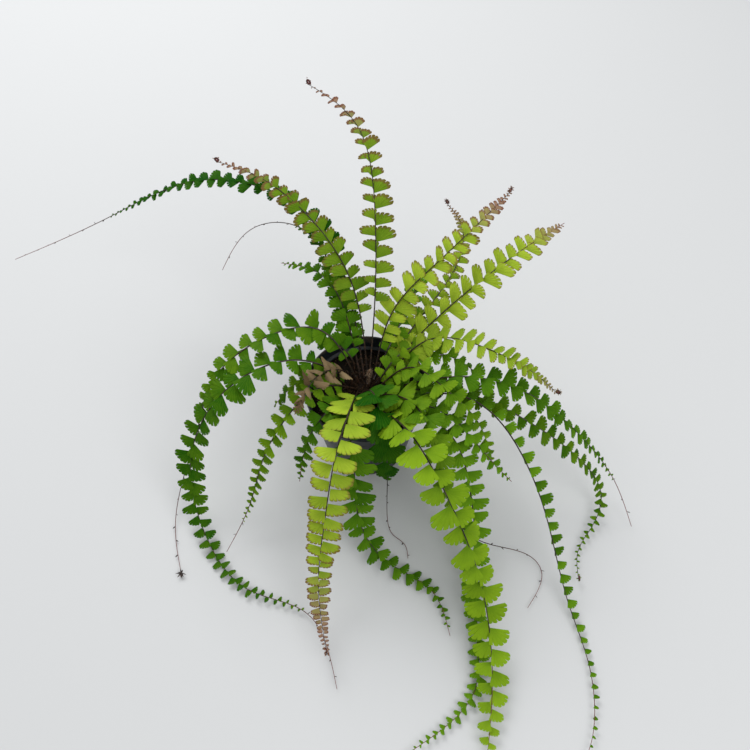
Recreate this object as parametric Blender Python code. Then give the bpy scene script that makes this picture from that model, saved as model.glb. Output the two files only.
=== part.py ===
"""A trailing maidenhair fern in a 7 cm nursery pot, standing on its base.

The origin is the middle of the pot's base, on the surface that it stands on. +Z is up and -Y is
the plant's front. Blender's units are metres, so every length in millimetres is multiplied by MM.

Each frond grew as one piece: a wiry stalk with a row of leaflets on either side. The stalk leaves
the crown, passes the points of its route and ends at its tip, and its long, bare tips lie along
the surface. A leaflet that would meet a neighbouring frond is made shorter, as if it were folded.
"""

from dataclasses import dataclass
from math import cos, pi, radians, sin

import bmesh
import bpy
import numpy as np
from mathutils import Vector
from mathutils.bvhtree import BVHTree

MM = 0.001

# The pot: a thin tapered wall with a stepped band at the rim and drain holes in its base.
POT_HEIGHT = 62.0
BASE_RADIUS = 25.0
RIM_RADIUS = 35.0
BAND_HEIGHT = 9.5
BAND_STEP = 2.2
WALL = 1.2
BASE_THICKNESS = 1.6
POT_STEPS = 40
DRAIN_HOLES = 6
DRAIN_RADIUS = 3.2
DRAIN_CIRCLE_RADIUS = 15.0

# The peat fills the pot to just under the band, and mounds up under the crown.
GAP = 0.4
PEAT_EDGE = POT_HEIGHT - BAND_HEIGHT - 0.5
PEAT_TOP = 54.0
PEAT_MOUND_RADIUS = 20.0

# The crown is the low woody clump that every stalk grows from.
CROWN_RADII = (13.0, 11.0, 3.0)
CROWN_MIDDLE = PEAT_TOP + CROWN_RADII[2] + GAP
ROOT_RING_RADII = (6.0, 10.0)
ROOT_RING_START = -166.0
ROOT_LIFT = 1.1

# Stalks and leaflets.
STALK_HALF_WIDTH = 0.55
STALK_HALF_THICKNESS = 0.45
TIP_SCALE = 0.7
BARE_STEP = 11.0
LEAFLET_FOOT = 1.6
SHORTEST_PITCH = 4.5
LEAFLET_BREADTH = 0.52
LEAFLET_BACK = 0.06
LEAFLET_DROOP = 0.1
LEAFLET_SWEEP = (12.0, 36.0)
LOWEST_LEAFLET = 0.6
CLEARANCE = 0.5
SHORTENINGS = (1.0, 0.8, 0.62, 0.46, 0.32)
KNOB_RADIUS = 1.6
KNOB_LENGTHS = 2.4

GREEN = (0.13, 0.33, 0.02)
DARK_GREEN = (0.05, 0.19, 0.015)
YOUNG_GREEN = (0.30, 0.42, 0.04)
STRAW = (0.30, 0.19, 0.08)
PEAT = (0.018, 0.012, 0.008)
WOOD = (0.06, 0.035, 0.02)
POT_PLASTIC = (0.02, 0.026, 0.03)


@dataclass(frozen=True)
class Frond:
    """The route holds points in mm, from above the crown to the tip. The blade is the part of
    the stalk's length that has leaflets, from 0 at the crown to 1 at the tip. The pitch is the
    space from one pair to the next, in leaflet lengths. Where the spread is above 0, the small
    leaflets near the tip stand wider apart than that. Side 1 is on the right of someone who looks
    along the stalk towards its tip. The knob is a rolled-up tip, or the bud of a new plant."""

    name: str
    route: tuple
    leaflet: float
    blade: tuple = (0.07, 0.98)
    taper: float = 2.5
    pitch: float = 0.8
    spread: float = 0.35
    sides: tuple = (1, -1)
    knob: bool = False
    colour: tuple = GREEN


# Anticlockwise round the crown, seen from above, starting at the left of the front.
FRONDS = (
    Frond("frond_left_small",
          ((-25, -10, 76), (-42, -24, 70), (-56, -40, 52), (-66, -56, 24), (-80, -76, 4)),
          leaflet=9.5, blade=(0.07, 0.85)),
    Frond("frond_front_left_short",
          ((-15, -20, 76), (-26, -30, 72), (-34, -40, 54), (-37, -48, 38)),
          leaflet=10, colour=DARK_GREEN),
    Frond("frond_front_left_young",
          ((-8, -30, 86), (-15, -56, 84), (-21, -82, 60), (-25, -106, 28), (-20, -138, 12)),
          leaflet=14, pitch=0.66, spread=0, knob=True, colour=YOUNG_GREEN),
    Frond("frond_front_trailing",
          ((-8, -38, 76), (-6, -54, 60), (-4, -66, 30), (6, -78, 9), (22, -88, 3), (38, -100, 3),
           (46, -124, 3)),
          leaflet=12.5, colour=DARK_GREEN),
    Frond("frond_front_hanging",
          ((5, -20, 84), (10, -38, 72), (12, -46, 42), (12, -54, 14), (15, -64, 2), (22, -70, 1.5),
           (24, -79, 1.5)),
          leaflet=14, blade=(0.07, 0.6), taper=4, pitch=0.66, colour=DARK_GREEN),
    Frond("frond_front_longest",
          ((20, -40, 86), (36, -66, 82), (55, -96, 52), (65, -122, 22), (66, -155, 10),
           (60, -196, 3)),
          leaflet=14, taper=5, pitch=0.85),
    Frond("frond_front_right_runner",
          ((25, -25, 84), (38, -48, 74), (45, -64, 48), (64, -74, 16), (92, -77, 3),
           (100, -88, 1.5), (90, -108, 1.5)),
          leaflet=14, blade=(0.07, 0.52)),
    Frond("frond_front_right_dark", ((40, -26, 78), (64, -44, 64), (80, -52, 46)),
          leaflet=11, colour=DARK_GREEN),
    Frond("frond_front_right_trailing",
          ((44, -34, 70), (56, -54, 50), (61, -78, 20), (61, -115, 3), (58, -152, 3),
           (40, -172, 3), (18, -186, 3)),
          leaflet=11, colour=DARK_GREEN),
    Frond("frond_right_trailing",
          ((58, -18, 76), (85, -48, 64), (100, -75, 36), (112, -108, 7), (120, -142, 3),
           (116, -178, 3), (105, -195, 3)),
          leaflet=8, pitch=1.1, sides=(-1,), colour=DARK_GREEN),
    Frond("frond_right_long",
          ((52, -8, 84), (88, -15, 78), (120, -25, 50), (145, -38, 18), (155, -60, 3)),
          leaflet=11, blade=(0.07, 0.85), colour=DARK_GREEN),
    Frond("frond_right_hooked",
          ((48, -8, 70), (92, -25, 62), (124, -36, 36), (138, -45, 10), (132, -60, 4),
           (122, -75, 3), (120, -95, 4)),
          leaflet=10.5, taper=1.6, pitch=0.85, knob=True),
    Frond("frond_front_right_pale",
          ((25, -2, 84), (42, -18, 88), (60, -30, 74), (70, -45, 48)), leaflet=11),
    Frond("frond_right_short", ((33, 9, 80), (50, 6, 80), (66, 2, 66)),
          leaflet=10, colour=DARK_GREEN),
    Frond("frond_right_low", ((12, 6, 71), (22, 14, 77), (34, 17, 77), (46, 15, 66)),
          leaflet=8.5),
    Frond("frond_right_middle", ((35, 15, 86), (65, 3, 95), (90, -8, 88), (105, -15, 76)),
          leaflet=12, pitch=0.62, spread=0, knob=True, colour=YOUNG_GREEN),
    Frond("frond_right_upper", ((35, 25, 85), (60, 36, 108), (85, 52, 118), (110, 70, 120)),
          leaflet=14, taper=4, pitch=0.62, spread=0, colour=YOUNG_GREEN),
    Frond("frond_back_right_curl", ((28, 30, 80), (50, 55, 98), (55, 80, 106), (45, 97, 110)),
          leaflet=8.5, spread=0, knob=True, colour=YOUNG_GREEN),
    Frond("frond_back_right_short", ((20, 32, 80), (28, 46, 90), (38, 66, 94)),
          leaflet=9, colour=DARK_GREEN),
    Frond("frond_back_right_young", ((15, 30, 92), (35, 42, 114), (60, 58, 132), (80, 78, 138)),
          leaflet=12.5, taper=3.2, pitch=0.66, spread=0, knob=True,
          colour=YOUNG_GREEN),
    Frond("frond_back_tall", ((5, 35, 95), (5, 70, 132), (-5, 115, 150), (-35, 145, 155)),
          leaflet=12.5, blade=(0.24, 0.98), taper=3, pitch=0.76, spread=0, knob=True,
          colour=YOUNG_GREEN),
    Frond("frond_back_left_young",
          ((-9, 50, 96), (-35, 75, 125), (-60, 90, 136), (-85, 100, 138)),
          leaflet=11.5, blade=(0.22, 0.98), taper=3, pitch=0.7, spread=0, knob=True,
          colour=YOUNG_GREEN),
    Frond("frond_far_left_runner",
          ((-19, 74, 96), (-46, 92, 117), (-95, 105, 118), (-155, 100, 92), (-220, 95, 60)),
          leaflet=9, blade=(0.22, 0.76), pitch=0.9, colour=DARK_GREEN),
    Frond("frond_back_left_bare_tip",
          ((-20, 65, 86), (-40, 90, 95), (-70, 98, 84), (-90, 88, 58)),
          leaflet=9, blade=(0.12, 0.6), colour=DARK_GREEN),
    Frond("frond_back_left_short", ((-15, 45, 84), (-28, 58, 92), (-50, 70, 86)),
          leaflet=9.5, colour=DARK_GREEN),
    Frond("frond_back_left_low", ((-8, 12, 72), (-21, 22, 77), (-34, 31, 72), (-45, 37, 58)),
          leaflet=9, colour=DARK_GREEN),
    Frond("frond_left_upper",
          ((-25, 20, 88), (-55, 12, 92), (-82, -4, 78), (-96, -20, 46), (-108, -34, 14),
           (-112, -58, 2), (-105, -88, 2)),
          leaflet=12, blade=(0.05, 0.6), knob=True),
    Frond("frond_dried", ((-12, 2, 74), (-24, -6, 84), (-33, -19, 83), (-38, -27, 76)),
          leaflet=9, blade=(0.25, 0.98), pitch=0.66, spread=0, colour=STRAW),
    Frond("frond_left_arching",
          ((-35, 0, 88), (-65, -9, 86), (-88, -22, 66), (-100, -40, 32), (-92, -68, 4),
           (-66, -98, 3), (-32, -112, 3), (-15, -152, 2)),
          leaflet=12.5, blade=(0.05, 0.85), taper=1.8),
    Frond("frond_left_short", ((-22, -1, 76), (-38, -6, 74), (-52, -10, 56)), leaflet=11),
)
FIDDLEHEAD_ROUTE = ((1, 1, 62), (2, 3, 68), (4, 6, 72))


def clear_scene():
    for obj in list(bpy.data.objects):
        bpy.data.objects.remove(obj, do_unlink=True)


def plain_material(name, colour, roughness):
    material = bpy.data.materials.new(name)
    material.use_nodes = True
    shader = material.node_tree.nodes["Principled BSDF"]
    shader.inputs["Base Color"].default_value = (*colour, 1.0)
    shader.inputs["Roughness"].default_value = roughness
    return material


def add_object(name, bm, colour, roughness, smooth=False):
    mesh = bpy.data.meshes.new(name)
    bmesh.ops.recalc_face_normals(bm, faces=bm.faces)
    bm.to_mesh(mesh)
    bm.free()
    mesh.materials.append(plain_material(name, colour, roughness))
    if smooth:
        mesh.shade_smooth()
        mesh.set_sharp_from_angle(angle=radians(35))
    obj = bpy.data.objects.new(name, mesh)
    bpy.context.scene.collection.objects.link(obj)
    return obj


def turned(profile, steps):
    """A closed solid from (radius, height) points in mm that start and end on the Z axis."""
    bm = bmesh.new()
    points = [bm.verts.new((radius * MM, 0, height * MM)) for radius, height in profile]
    edges = [bm.edges.new(pair) for pair in zip(points, points[1:])]
    bmesh.ops.spin(bm, geom=points + edges, cent=(0, 0, 0), axis=(0, 0, 1), angle=2 * pi,
                   steps=steps, use_merge=True)
    bmesh.ops.remove_doubles(bm, verts=bm.verts, dist=1e-6)
    return bm


def wall_radius(height):
    """The outer radius of the pot's tapered wall, below its band."""
    under_band = RIM_RADIUS - BAND_STEP
    return BASE_RADIUS + (under_band - BASE_RADIUS) * height / (POT_HEIGHT - BAND_HEIGHT)


def make_drain_cutter():
    bm = bmesh.new()
    for i in range(DRAIN_HOLES):
        turn = 2 * pi * i / DRAIN_HOLES
        made = bmesh.ops.create_cone(bm, cap_ends=True, segments=12, radius1=DRAIN_RADIUS * MM,
                                     radius2=DRAIN_RADIUS * MM, depth=4 * BASE_THICKNESS * MM)
        away = Vector((cos(turn), sin(turn), 0)) * DRAIN_CIRCLE_RADIUS * MM
        bmesh.ops.translate(bm, verts=made["verts"], vec=away)
    cutter = add_object("drain_cutter", bm, POT_PLASTIC, 0.5)
    cutter.hide_render = True
    cutter.display_type = "WIRE"
    return cutter


def make_pot():
    under_band = POT_HEIGHT - BAND_HEIGHT
    band_foot = RIM_RADIUS - 0.8
    profile = (
        (0, 0),
        (BASE_RADIUS, 0),
        (wall_radius(under_band), under_band),
        (band_foot, under_band + 0.6),
        (RIM_RADIUS, POT_HEIGHT),
        (RIM_RADIUS - WALL, POT_HEIGHT),
        (band_foot - WALL, under_band + 1.2),
        (wall_radius(under_band) - WALL, under_band),
        (wall_radius(BASE_THICKNESS) - WALL, BASE_THICKNESS),
        (0, BASE_THICKNESS),
    )
    pot = add_object("nursery_pot", turned(profile, POT_STEPS), POT_PLASTIC, 0.45, smooth=True)
    drains = pot.modifiers.new("drain holes", "BOOLEAN")
    drains.operation = "DIFFERENCE"
    drains.solver = "EXACT"
    drains.object = make_drain_cutter()
    return pot


def make_peat():
    foot = BASE_THICKNESS + GAP
    profile = (
        (0, foot),
        (wall_radius(foot) - WALL - GAP, foot),
        (wall_radius(PEAT_EDGE) - WALL - GAP, PEAT_EDGE),
        (PEAT_MOUND_RADIUS, PEAT_TOP),
        (0, PEAT_TOP),
    )
    return add_object("peat", turned(profile, POT_STEPS), PEAT, 0.95, smooth=True)


def make_crown():
    bm = bmesh.new()
    bmesh.ops.create_icosphere(bm, subdivisions=2, radius=1.0)
    for vert in bm.verts:
        x, y, z = (c * r for c, r in zip(vert.co, CROWN_RADII))
        vert.co = (x * MM, y * MM, (z + CROWN_MIDDLE) * MM)
    return add_object("crown", bm, WOOD, 0.9, smooth=True)


def crown_surface(x, y):
    """The height of the crown's surface above the point (x, y), in mm."""
    inside = max(0.0, 1 - (x / CROWN_RADII[0]) ** 2 - (y / CROWN_RADII[1]) ** 2)
    return CROWN_MIDDLE + CROWN_RADII[2] * inside**0.5


def root_point(index):
    """The foot of stalk number index. The feet stand in two rings, inner and outer by turns."""
    turn = radians(ROOT_RING_START + 360 * index / len(FRONDS))
    radius = ROOT_RING_RADII[index % 2]
    x, y = radius * cos(turn), radius * sin(turn)
    return (x, y, crown_surface(x, y) + ROOT_LIFT)


def smooth_curve(points, samples=400):
    """Points along the natural cubic spline through the given points, evenly spaced, in metres."""
    p = np.array(points, float) * MM
    knots = np.concatenate([[0], np.cumsum(np.linalg.norm(np.diff(p, axis=0), axis=1) ** 0.5)])
    step = np.diff(knots)
    n = len(p)
    matrix = np.eye(n)
    right = np.zeros((n, 3))
    for i in range(1, n - 1):
        matrix[i, i - 1 : i + 2] = step[i - 1], 2 * (step[i - 1] + step[i]), step[i]
        slopes = (p[i + 1] - p[i]) / step[i], (p[i] - p[i - 1]) / step[i - 1]
        right[i] = 6 * (slopes[0] - slopes[1])
    bend = np.linalg.solve(matrix, right)
    t = np.linspace(0, knots[-1], samples)
    i = np.clip(np.searchsorted(knots, t, side="right") - 1, 0, n - 2)
    h = step[i][:, None]
    a = (knots[i + 1] - t)[:, None]
    b = (t - knots[i])[:, None]
    curve = (bend[i] * a**3 + bend[i + 1] * b**3) / (6 * h)
    curve += (p[i] / h - bend[i] * h / 6) * a + (p[i + 1] / h - bend[i + 1] * h / 6) * b
    along = np.concatenate([[0], np.cumsum(np.linalg.norm(np.diff(curve, axis=0), axis=1))])
    even = np.linspace(0, along[-1], samples)
    return np.stack([np.interp(even, along, curve[:, k]) for k in range(3)], axis=1)


class Stalk:
    """A curve with a frame at each point: along it, across it and away from its underside."""

    def __init__(self, points):
        self.curve = smooth_curve(points)
        self.length = np.linalg.norm(np.diff(self.curve, axis=0), axis=1).sum()
        along = np.gradient(self.curve, axis=0)
        along /= np.linalg.norm(along, axis=1)[:, None]
        across = np.stack([along[:, 1], -along[:, 0], np.zeros(len(along))], axis=1)
        across /= np.linalg.norm(across, axis=1)[:, None]
        self.along = along
        self.across = across
        self.away = np.cross(across, along)

    def at(self, distance):
        """The point at this distance from the crown, with its along, across and away."""
        place = np.clip(distance / self.length, 0, 1) * (len(self.curve) - 1)
        low = min(int(place), len(self.curve) - 2)
        part = place - low
        rows = (self.curve, self.along, self.across, self.away)
        return [row[low] * (1 - part) + row[low + 1] * part for row in rows]


def leaflet_size(frond, distance, length):
    """The leaflets are a little shorter at the foot of the blade and shrink towards its tip."""
    start, end = (part * length for part in frond.blade)
    u = np.clip((distance - start) / (end - start), 0, 1)
    return frond.leaflet * MM * min(1.0, 0.7 + 2 * u) * (0.12 + 0.88 * (1 - u**frond.taper))


def leaflet_places(frond, stalk):
    """The distances of the pairs of leaflets from the crown."""
    places = []
    distance = frond.blade[0] * stalk.length
    while distance < frond.blade[1] * stalk.length - LEAFLET_FOOT * MM:
        places.append(distance)
        size = leaflet_size(frond, distance, stalk.length)
        room = size + frond.spread * (frond.leaflet * MM - size)
        distance += max(SHORTEST_PITCH * MM, frond.pitch * room)
    return places


def leaflet_edge(frond, stalk, distance, side, scale):
    """The back and front corners of a leaflet's outer edge."""
    point, along, across, away = stalk.at(distance)
    size = leaflet_size(frond, distance, stalk.length) * scale
    sweep = radians(np.interp(distance / stalk.length, (0.1, 1.0), LEAFLET_SWEEP))
    out = across * side * cos(sweep) + along * sin(sweep) - away * LEAFLET_DROOP
    back = point + out * size - along * size * LEAFLET_BACK
    front = point + out * size * 0.88 + along * size * LEAFLET_BREADTH
    for corner in (back, front):
        corner[2] = max(corner[2], LOWEST_LEAFLET * MM)
    return back, front


def leaflet_is_clear(stalk, distance, side, edge, obstacles):
    """True if the leaflet, made thicker and longer by the clearance, meets no obstacle."""
    point, along, across, away = stalk.at(distance)
    back, front = edge
    grow = CLEARANCE * MM
    foot = point + across * side * 2 * STALK_HALF_WIDTH * MM
    half = along * LEAFLET_FOOT / 2 * MM
    out = (back + front) / 2 - foot
    out /= np.linalg.norm(out)
    outline = (foot - half, back + out * grow - along * grow, front + out * grow + along * grow,
               foot + half)
    thick = away * (STALK_HALF_THICKNESS * MM + grow)
    verts = [corner + thick for corner in outline] + [corner - thick for corner in outline]
    faces = [(0, 1, 2, 3), (7, 6, 5, 4), (0, 4, 5, 1), (1, 5, 6, 2), (2, 6, 7, 3), (3, 7, 4, 0)]
    tree = BVHTree.FromPolygons([tuple(v) for v in verts], faces)
    return tree, not any(tree.overlap(obstacle) for obstacle in obstacles)


def stalk_obstacle(stalk):
    """A coarse square tube round the stalk, thicker than it by the clearance."""
    stations = np.linspace(0, stalk.length, 60)
    verts, faces = [], []
    half = (STALK_HALF_WIDTH + CLEARANCE) * MM
    for k, distance in enumerate(stations):
        point, _, across, away = stalk.at(distance)
        for a, b in ((-1, -1), (1, -1), (1, 1), (-1, 1)):
            verts.append(tuple(point + across * a * half + away * b * half))
        if k:
            base = 4 * (k - 1)
            faces += [(base + i, base + (i + 1) % 4, base + 4 + (i + 1) % 4, base + 4 + i)
                      for i in range(4)]
    return BVHTree.FromPolygons(verts, faces)


def fit_leaflets(frond, stalk, obstacles):
    """Chooses each leaflet's outer edge, shortened where it would meet something. A leaflet with
    no room at all is left out. The result maps (place, side) to the edge's two corners."""
    edges = {}
    own = []
    for place in leaflet_places(frond, stalk):
        for side in frond.sides:
            for scale in SHORTENINGS:
                edge = leaflet_edge(frond, stalk, place, side, scale)
                tree, clear = leaflet_is_clear(stalk, place, side, edge, obstacles + own)
                if clear:
                    edges[place, side] = edge
                    own.append(tree)
                    break
    return edges, own


def stalk_rings(frond, stalk, edges):
    """(distance, half size factor) of each ring of the stalk, from the crown to the tip."""
    half_foot = LEAFLET_FOOT / 2 * MM
    places = sorted({place for place, _ in edges})
    feet = [place + sign * half_foot for place in places for sign in (-1, 1)]
    end = stalk.length - (KNOB_LENGTHS * KNOB_RADIUS * MM if frond.knob else 0)
    bare = np.arange(BARE_STEP, stalk.length / MM, BARE_STEP) * MM
    near = BARE_STEP / 2 * MM
    apart = [d for d in bare if all(abs(d - other) > near for other in (*feet, end))]
    rings = [(d, 1 + (TIP_SCALE - 1) * d / stalk.length) for d in sorted([0.0, *feet, *apart, end])]
    if frond.knob:
        ball = KNOB_RADIUS / STALK_HALF_WIDTH
        for part, factor in ((0.35, 0.8 * ball), (0.7, ball), (1.0, 0.5 * ball)):
            rings.append((end + part * (stalk.length - end), factor))
    return rings


def frond_mesh(frond, stalk, edges):
    bm = bmesh.new()
    half_foot = LEAFLET_FOOT / 2 * MM
    last = None
    for distance, factor in stalk_rings(frond, stalk, edges):
        point, _, across, away = stalk.at(distance)
        wide = across * STALK_HALF_WIDTH * MM * factor
        thick = away * STALK_HALF_THICKNESS * MM * factor
        ring = [bm.verts.new(point + a * wide + b * thick)
                for a, b in ((1, -1), (1, 1), (-1, 1), (-1, -1))]
        if last is None:
            bm.faces.new(ring)
        else:
            bm.faces.new((last[1], last[2], ring[2], ring[1]))
            bm.faces.new((last[3], last[0], ring[0], ring[3]))
            for side, low, high in ((1, 0, 1), (-1, 3, 2)):
                foot = (last[low], last[high], ring[high], ring[low])
                place = next((p for p, s in edges
                              if s == side and abs(p + half_foot - distance) < 1e-7), None)
                if place is None:
                    bm.faces.new(foot)
                    continue
                back, front = (bm.verts.new(corner) for corner in edges[place, side])
                bm.faces.new((foot[0], foot[1], back))
                bm.faces.new((foot[2], foot[3], front))
                bm.faces.new((foot[1], foot[2], front, back))
                bm.faces.new((foot[3], foot[0], back, front))
        last = ring
    bm.faces.new(reversed(last))
    return bm


def make_fronds(pot_parts):
    graph = bpy.context.evaluated_depsgraph_get()
    fixed = [BVHTree.FromObject(part, graph) for part in pot_parts]
    stalks = [Stalk([root_point(i), *frond.route]) for i, frond in enumerate(FRONDS)]
    tubes = [stalk_obstacle(stalk) for stalk in stalks]
    placed = []
    for i, (frond, stalk) in enumerate(zip(FRONDS, stalks)):
        others = fixed + tubes[:i] + tubes[i + 1 :] + placed
        edges, own = fit_leaflets(frond, stalk, others)
        placed += own
        add_object(frond.name, frond_mesh(frond, stalk, edges), frond.colour, 0.5)


def make_fiddlehead():
    """A woolly frond that has hardly begun to unroll."""
    frond = Frond("fiddlehead", FIDDLEHEAD_ROUTE, leaflet=0, knob=True, colour=STRAW)
    x, y, _ = frond.route[0]
    stalk = Stalk([(x, y, crown_surface(x, y) + ROOT_LIFT), *frond.route[1:]])
    return add_object(frond.name, frond_mesh(frond, stalk, {}), frond.colour, 0.9)


def main():
    clear_scene()
    pot_parts = [make_pot(), make_peat(), make_crown()]
    bpy.context.view_layer.update()
    make_fronds(pot_parts)
    make_fiddlehead()


main()
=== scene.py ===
# %% [markdown]
# # A trailing maidenhair fern in its nursery pot
#
# This file builds the looks of a small fern around a frame that is already measured and packed.
# The frame holds a plain solid for the pot, the peat, the woody crown and each frond. Every
# finished piece made here lies where its solid lies and stands in for it. Lengths in the tables
# are millimetres, and Blender works in metres, so they are multiplied by MM where a shape is
# made.

# %% The measured frame
from dataclasses import dataclass, field
from math import cos, pi, radians, sin

import bpy
import numpy as np
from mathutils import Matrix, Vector


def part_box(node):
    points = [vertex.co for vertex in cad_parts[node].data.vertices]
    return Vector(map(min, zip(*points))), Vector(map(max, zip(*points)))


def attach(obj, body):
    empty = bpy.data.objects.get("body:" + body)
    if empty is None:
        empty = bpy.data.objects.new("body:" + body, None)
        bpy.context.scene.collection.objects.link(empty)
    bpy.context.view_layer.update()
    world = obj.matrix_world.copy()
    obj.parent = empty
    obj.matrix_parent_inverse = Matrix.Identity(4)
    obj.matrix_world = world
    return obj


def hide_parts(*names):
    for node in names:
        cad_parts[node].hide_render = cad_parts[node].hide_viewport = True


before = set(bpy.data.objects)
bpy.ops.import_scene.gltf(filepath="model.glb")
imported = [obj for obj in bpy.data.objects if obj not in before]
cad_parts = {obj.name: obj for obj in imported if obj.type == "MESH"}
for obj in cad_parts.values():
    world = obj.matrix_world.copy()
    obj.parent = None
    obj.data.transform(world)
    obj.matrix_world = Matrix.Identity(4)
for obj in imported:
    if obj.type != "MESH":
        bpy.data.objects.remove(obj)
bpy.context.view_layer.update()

MM = 0.001

# %% [markdown]
# ## How a piece becomes a mesh
#
# Every piece is a set of points and faces worked out as whole arrays. A shape keeps its points,
# its faces as arrays of corner numbers, the finish it wears, marks on its points (numbers that a
# material can read, such as the age of a leaflet) and a flat map. The flat map gives each leaflet
# a place of its own, so colours can be baked without overlaps. The pot, the peat and the crown
# have none, because any unwrapping does for them.

# %% Shapes, and how they are joined
@dataclass
class Shape:
    """Each array in faces has one row for each face, and flat has the same rows with a place
    (across, up) in the flat map for each corner number."""

    points: np.ndarray
    faces: list
    finish: int = 0
    marks: dict = field(default_factory=dict)
    flat: list = field(default_factory=list)


def joined(shapes):
    """One set of arrays from several shapes: the corner numbers of each are moved up by the number
    of points before it, and a mark that a shape doesn't have is 0 on its points."""
    starts = np.cumsum([0] + [len(shape.points) for shape in shapes])
    faces = [part + start for start, shape in zip(starts, shapes) for part in shape.faces]
    finishes = [np.full(len(part), shape.finish) for shape in shapes for part in shape.faces]
    flat = [part.reshape(-1, 2) for shape in shapes for part in shape.flat]
    names = sorted({name for shape in shapes for name in shape.marks})
    marks = {name: np.concatenate([shape.marks.get(name, np.zeros(len(shape.points)))
                                   for shape in shapes]) for name in names}
    return np.concatenate([shape.points for shape in shapes]), faces, finishes, flat, marks


def make_mesh(name, shapes):
    """The joined arrays as a mesh: each mark becomes a number at every point, and the flat map
    becomes the UV map."""
    points, faces, finishes, flat, marks = joined(shapes)
    mesh = bpy.data.meshes.new(name)
    mesh.from_pydata(points.tolist(), [], [row for part in faces for row in part.tolist()])
    mesh.polygons.foreach_set("material_index", np.concatenate(finishes).astype(np.int32))
    for mark_name, values in marks.items():
        mesh.attributes.new(mark_name, "FLOAT", "POINT").data.foreach_set("value", values)
    if flat:
        bake_map = mesh.uv_layers.new(name="OFBake")
        bake_map.data.foreach_set("uv", np.concatenate(flat).astype(np.float32).ravel())
    return mesh

# %% [markdown]
# A finished piece rides on the frame's one body and stands for the solid it covers. Round holes
# are hard to draw as a grid, so they are cut out of the finished skin: a boolean modifier takes
# the space of some other closed shapes away, and its result is kept as the piece's own mesh.

# %% Placing a finished piece
def cut_out(piece, shapes):
    """Takes the space of these closed shapes out of a piece, and keeps the result as its mesh."""
    cutter = bpy.data.objects.new("cutter", make_mesh("cutter", shapes))
    bpy.context.scene.collection.objects.link(cutter)
    cut = piece.modifiers.new("cut", "BOOLEAN")
    cut.operation = "DIFFERENCE"
    cut.solver = "EXACT"
    cut.object = cutter
    ready = piece.evaluated_get(bpy.context.evaluated_depsgraph_get())
    finished = bpy.data.meshes.new_from_object(ready)
    piece.modifiers.clear()
    piece.data = finished
    bpy.data.objects.remove(cutter)


def place_piece(name, shapes, finishes, replaces=None, crease=50, holes=None):
    """Puts shapes into one mesh object at the origin, with any holes cut out of it. Its shading is
    smooth except where two faces meet at more than the crease's angle in degrees."""
    mesh = make_mesh(name, shapes)
    for finish in finishes:
        mesh.materials.append(finish)
    piece = bpy.data.objects.new(name, mesh)
    bpy.context.scene.collection.objects.link(piece)
    if holes:
        cut_out(piece, holes)
    piece.data.shade_smooth()
    piece.data.set_sharp_from_angle(angle=radians(crease))
    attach(piece, "root")
    if replaces:
        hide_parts(replaces)
    return piece


# %% [markdown]
# Nearly everything here is a skin round a row of rings: the pot, a stalk, a crumb of peat and a
# hair. One function closes the skin of one such shape, or of hundreds of the same kind at once.

# %% Closing a skin round rings
def grid_faces(rows, columns):
    """Four corner numbers for each cell of a grid whose points are stored row by row, and whose
    last column joins its first."""
    row, column = np.meshgrid(np.arange(rows - 1), np.arange(columns), indexing="ij")
    here = row * columns + column
    beside = row * columns + (column + 1) % columns
    return np.stack([here, beside, beside + columns, here + columns], axis=-1).reshape(-1, 4)


def closed_rings(feet, rings, tips, finish=0, marks=None):
    """Skins for shapes whose rings are an array of shape, row, column and coordinate. A fan of
    triangles joins the first ring to the foot and the last ring to the tip, and four-cornered
    faces join each ring to the next. Seen from the tip, the columns run anticlockwise."""
    count, rows, columns = rings.shape[:3]
    points = np.concatenate([feet[:, None], rings.reshape(count, -1, 3), tips[:, None]], axis=1)
    column = np.arange(columns)
    beside = (column + 1) % columns
    last = 1 + (rows - 1) * columns
    foot_fan = np.stack([0 * column, 1 + beside, 1 + column], axis=1)
    tip_fan = np.stack([last + column, last + beside, 0 * column + last + columns], axis=1)
    starts = (np.arange(count) * points.shape[1])[:, None, None]
    faces = [(starts + part).reshape(-1, part.shape[1])
             for part in (foot_fan, grid_faces(rows, columns) + 1, tip_fan)]
    marks = {name: np.repeat(values, points.shape[1]) for name, values in (marks or {}).items()}
    return Shape(points.reshape(-1, 3), faces, finish, marks)


def grid_flat(rows, columns, corner, size):
    """The flat map of grid_faces: rows run up and columns run across the given rectangle."""
    row, column = np.meshgrid(np.arange(rows - 1), np.arange(columns), indexing="ij")
    across = np.stack([column, column + 1, column + 1, column], axis=-1) / columns
    up = np.stack([row, row, row + 1, row + 1], axis=-1) / (rows - 1)
    flat = np.stack([corner[0] + size[0] * across, corner[1] + size[1] * up], axis=-1)
    return flat.reshape(-1, 4, 2)


print("a skin of 3 rings of 5 points has", len(grid_faces(3, 5)), "faces between its two fans")

# %% [markdown]
# ## A stalk's line
#
# A fern's stalk is springy, so it never has a kink. The points of its route are joined by a
# natural cubic spline: one cubic for each stretch, whose slope and bend agree with the next
# one's, and with no bend at the two ends. At each point the stalk needs a frame of three
# directions: along it, across it (level, to the right of someone who looks towards its tip) and
# away from its underside.

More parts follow.
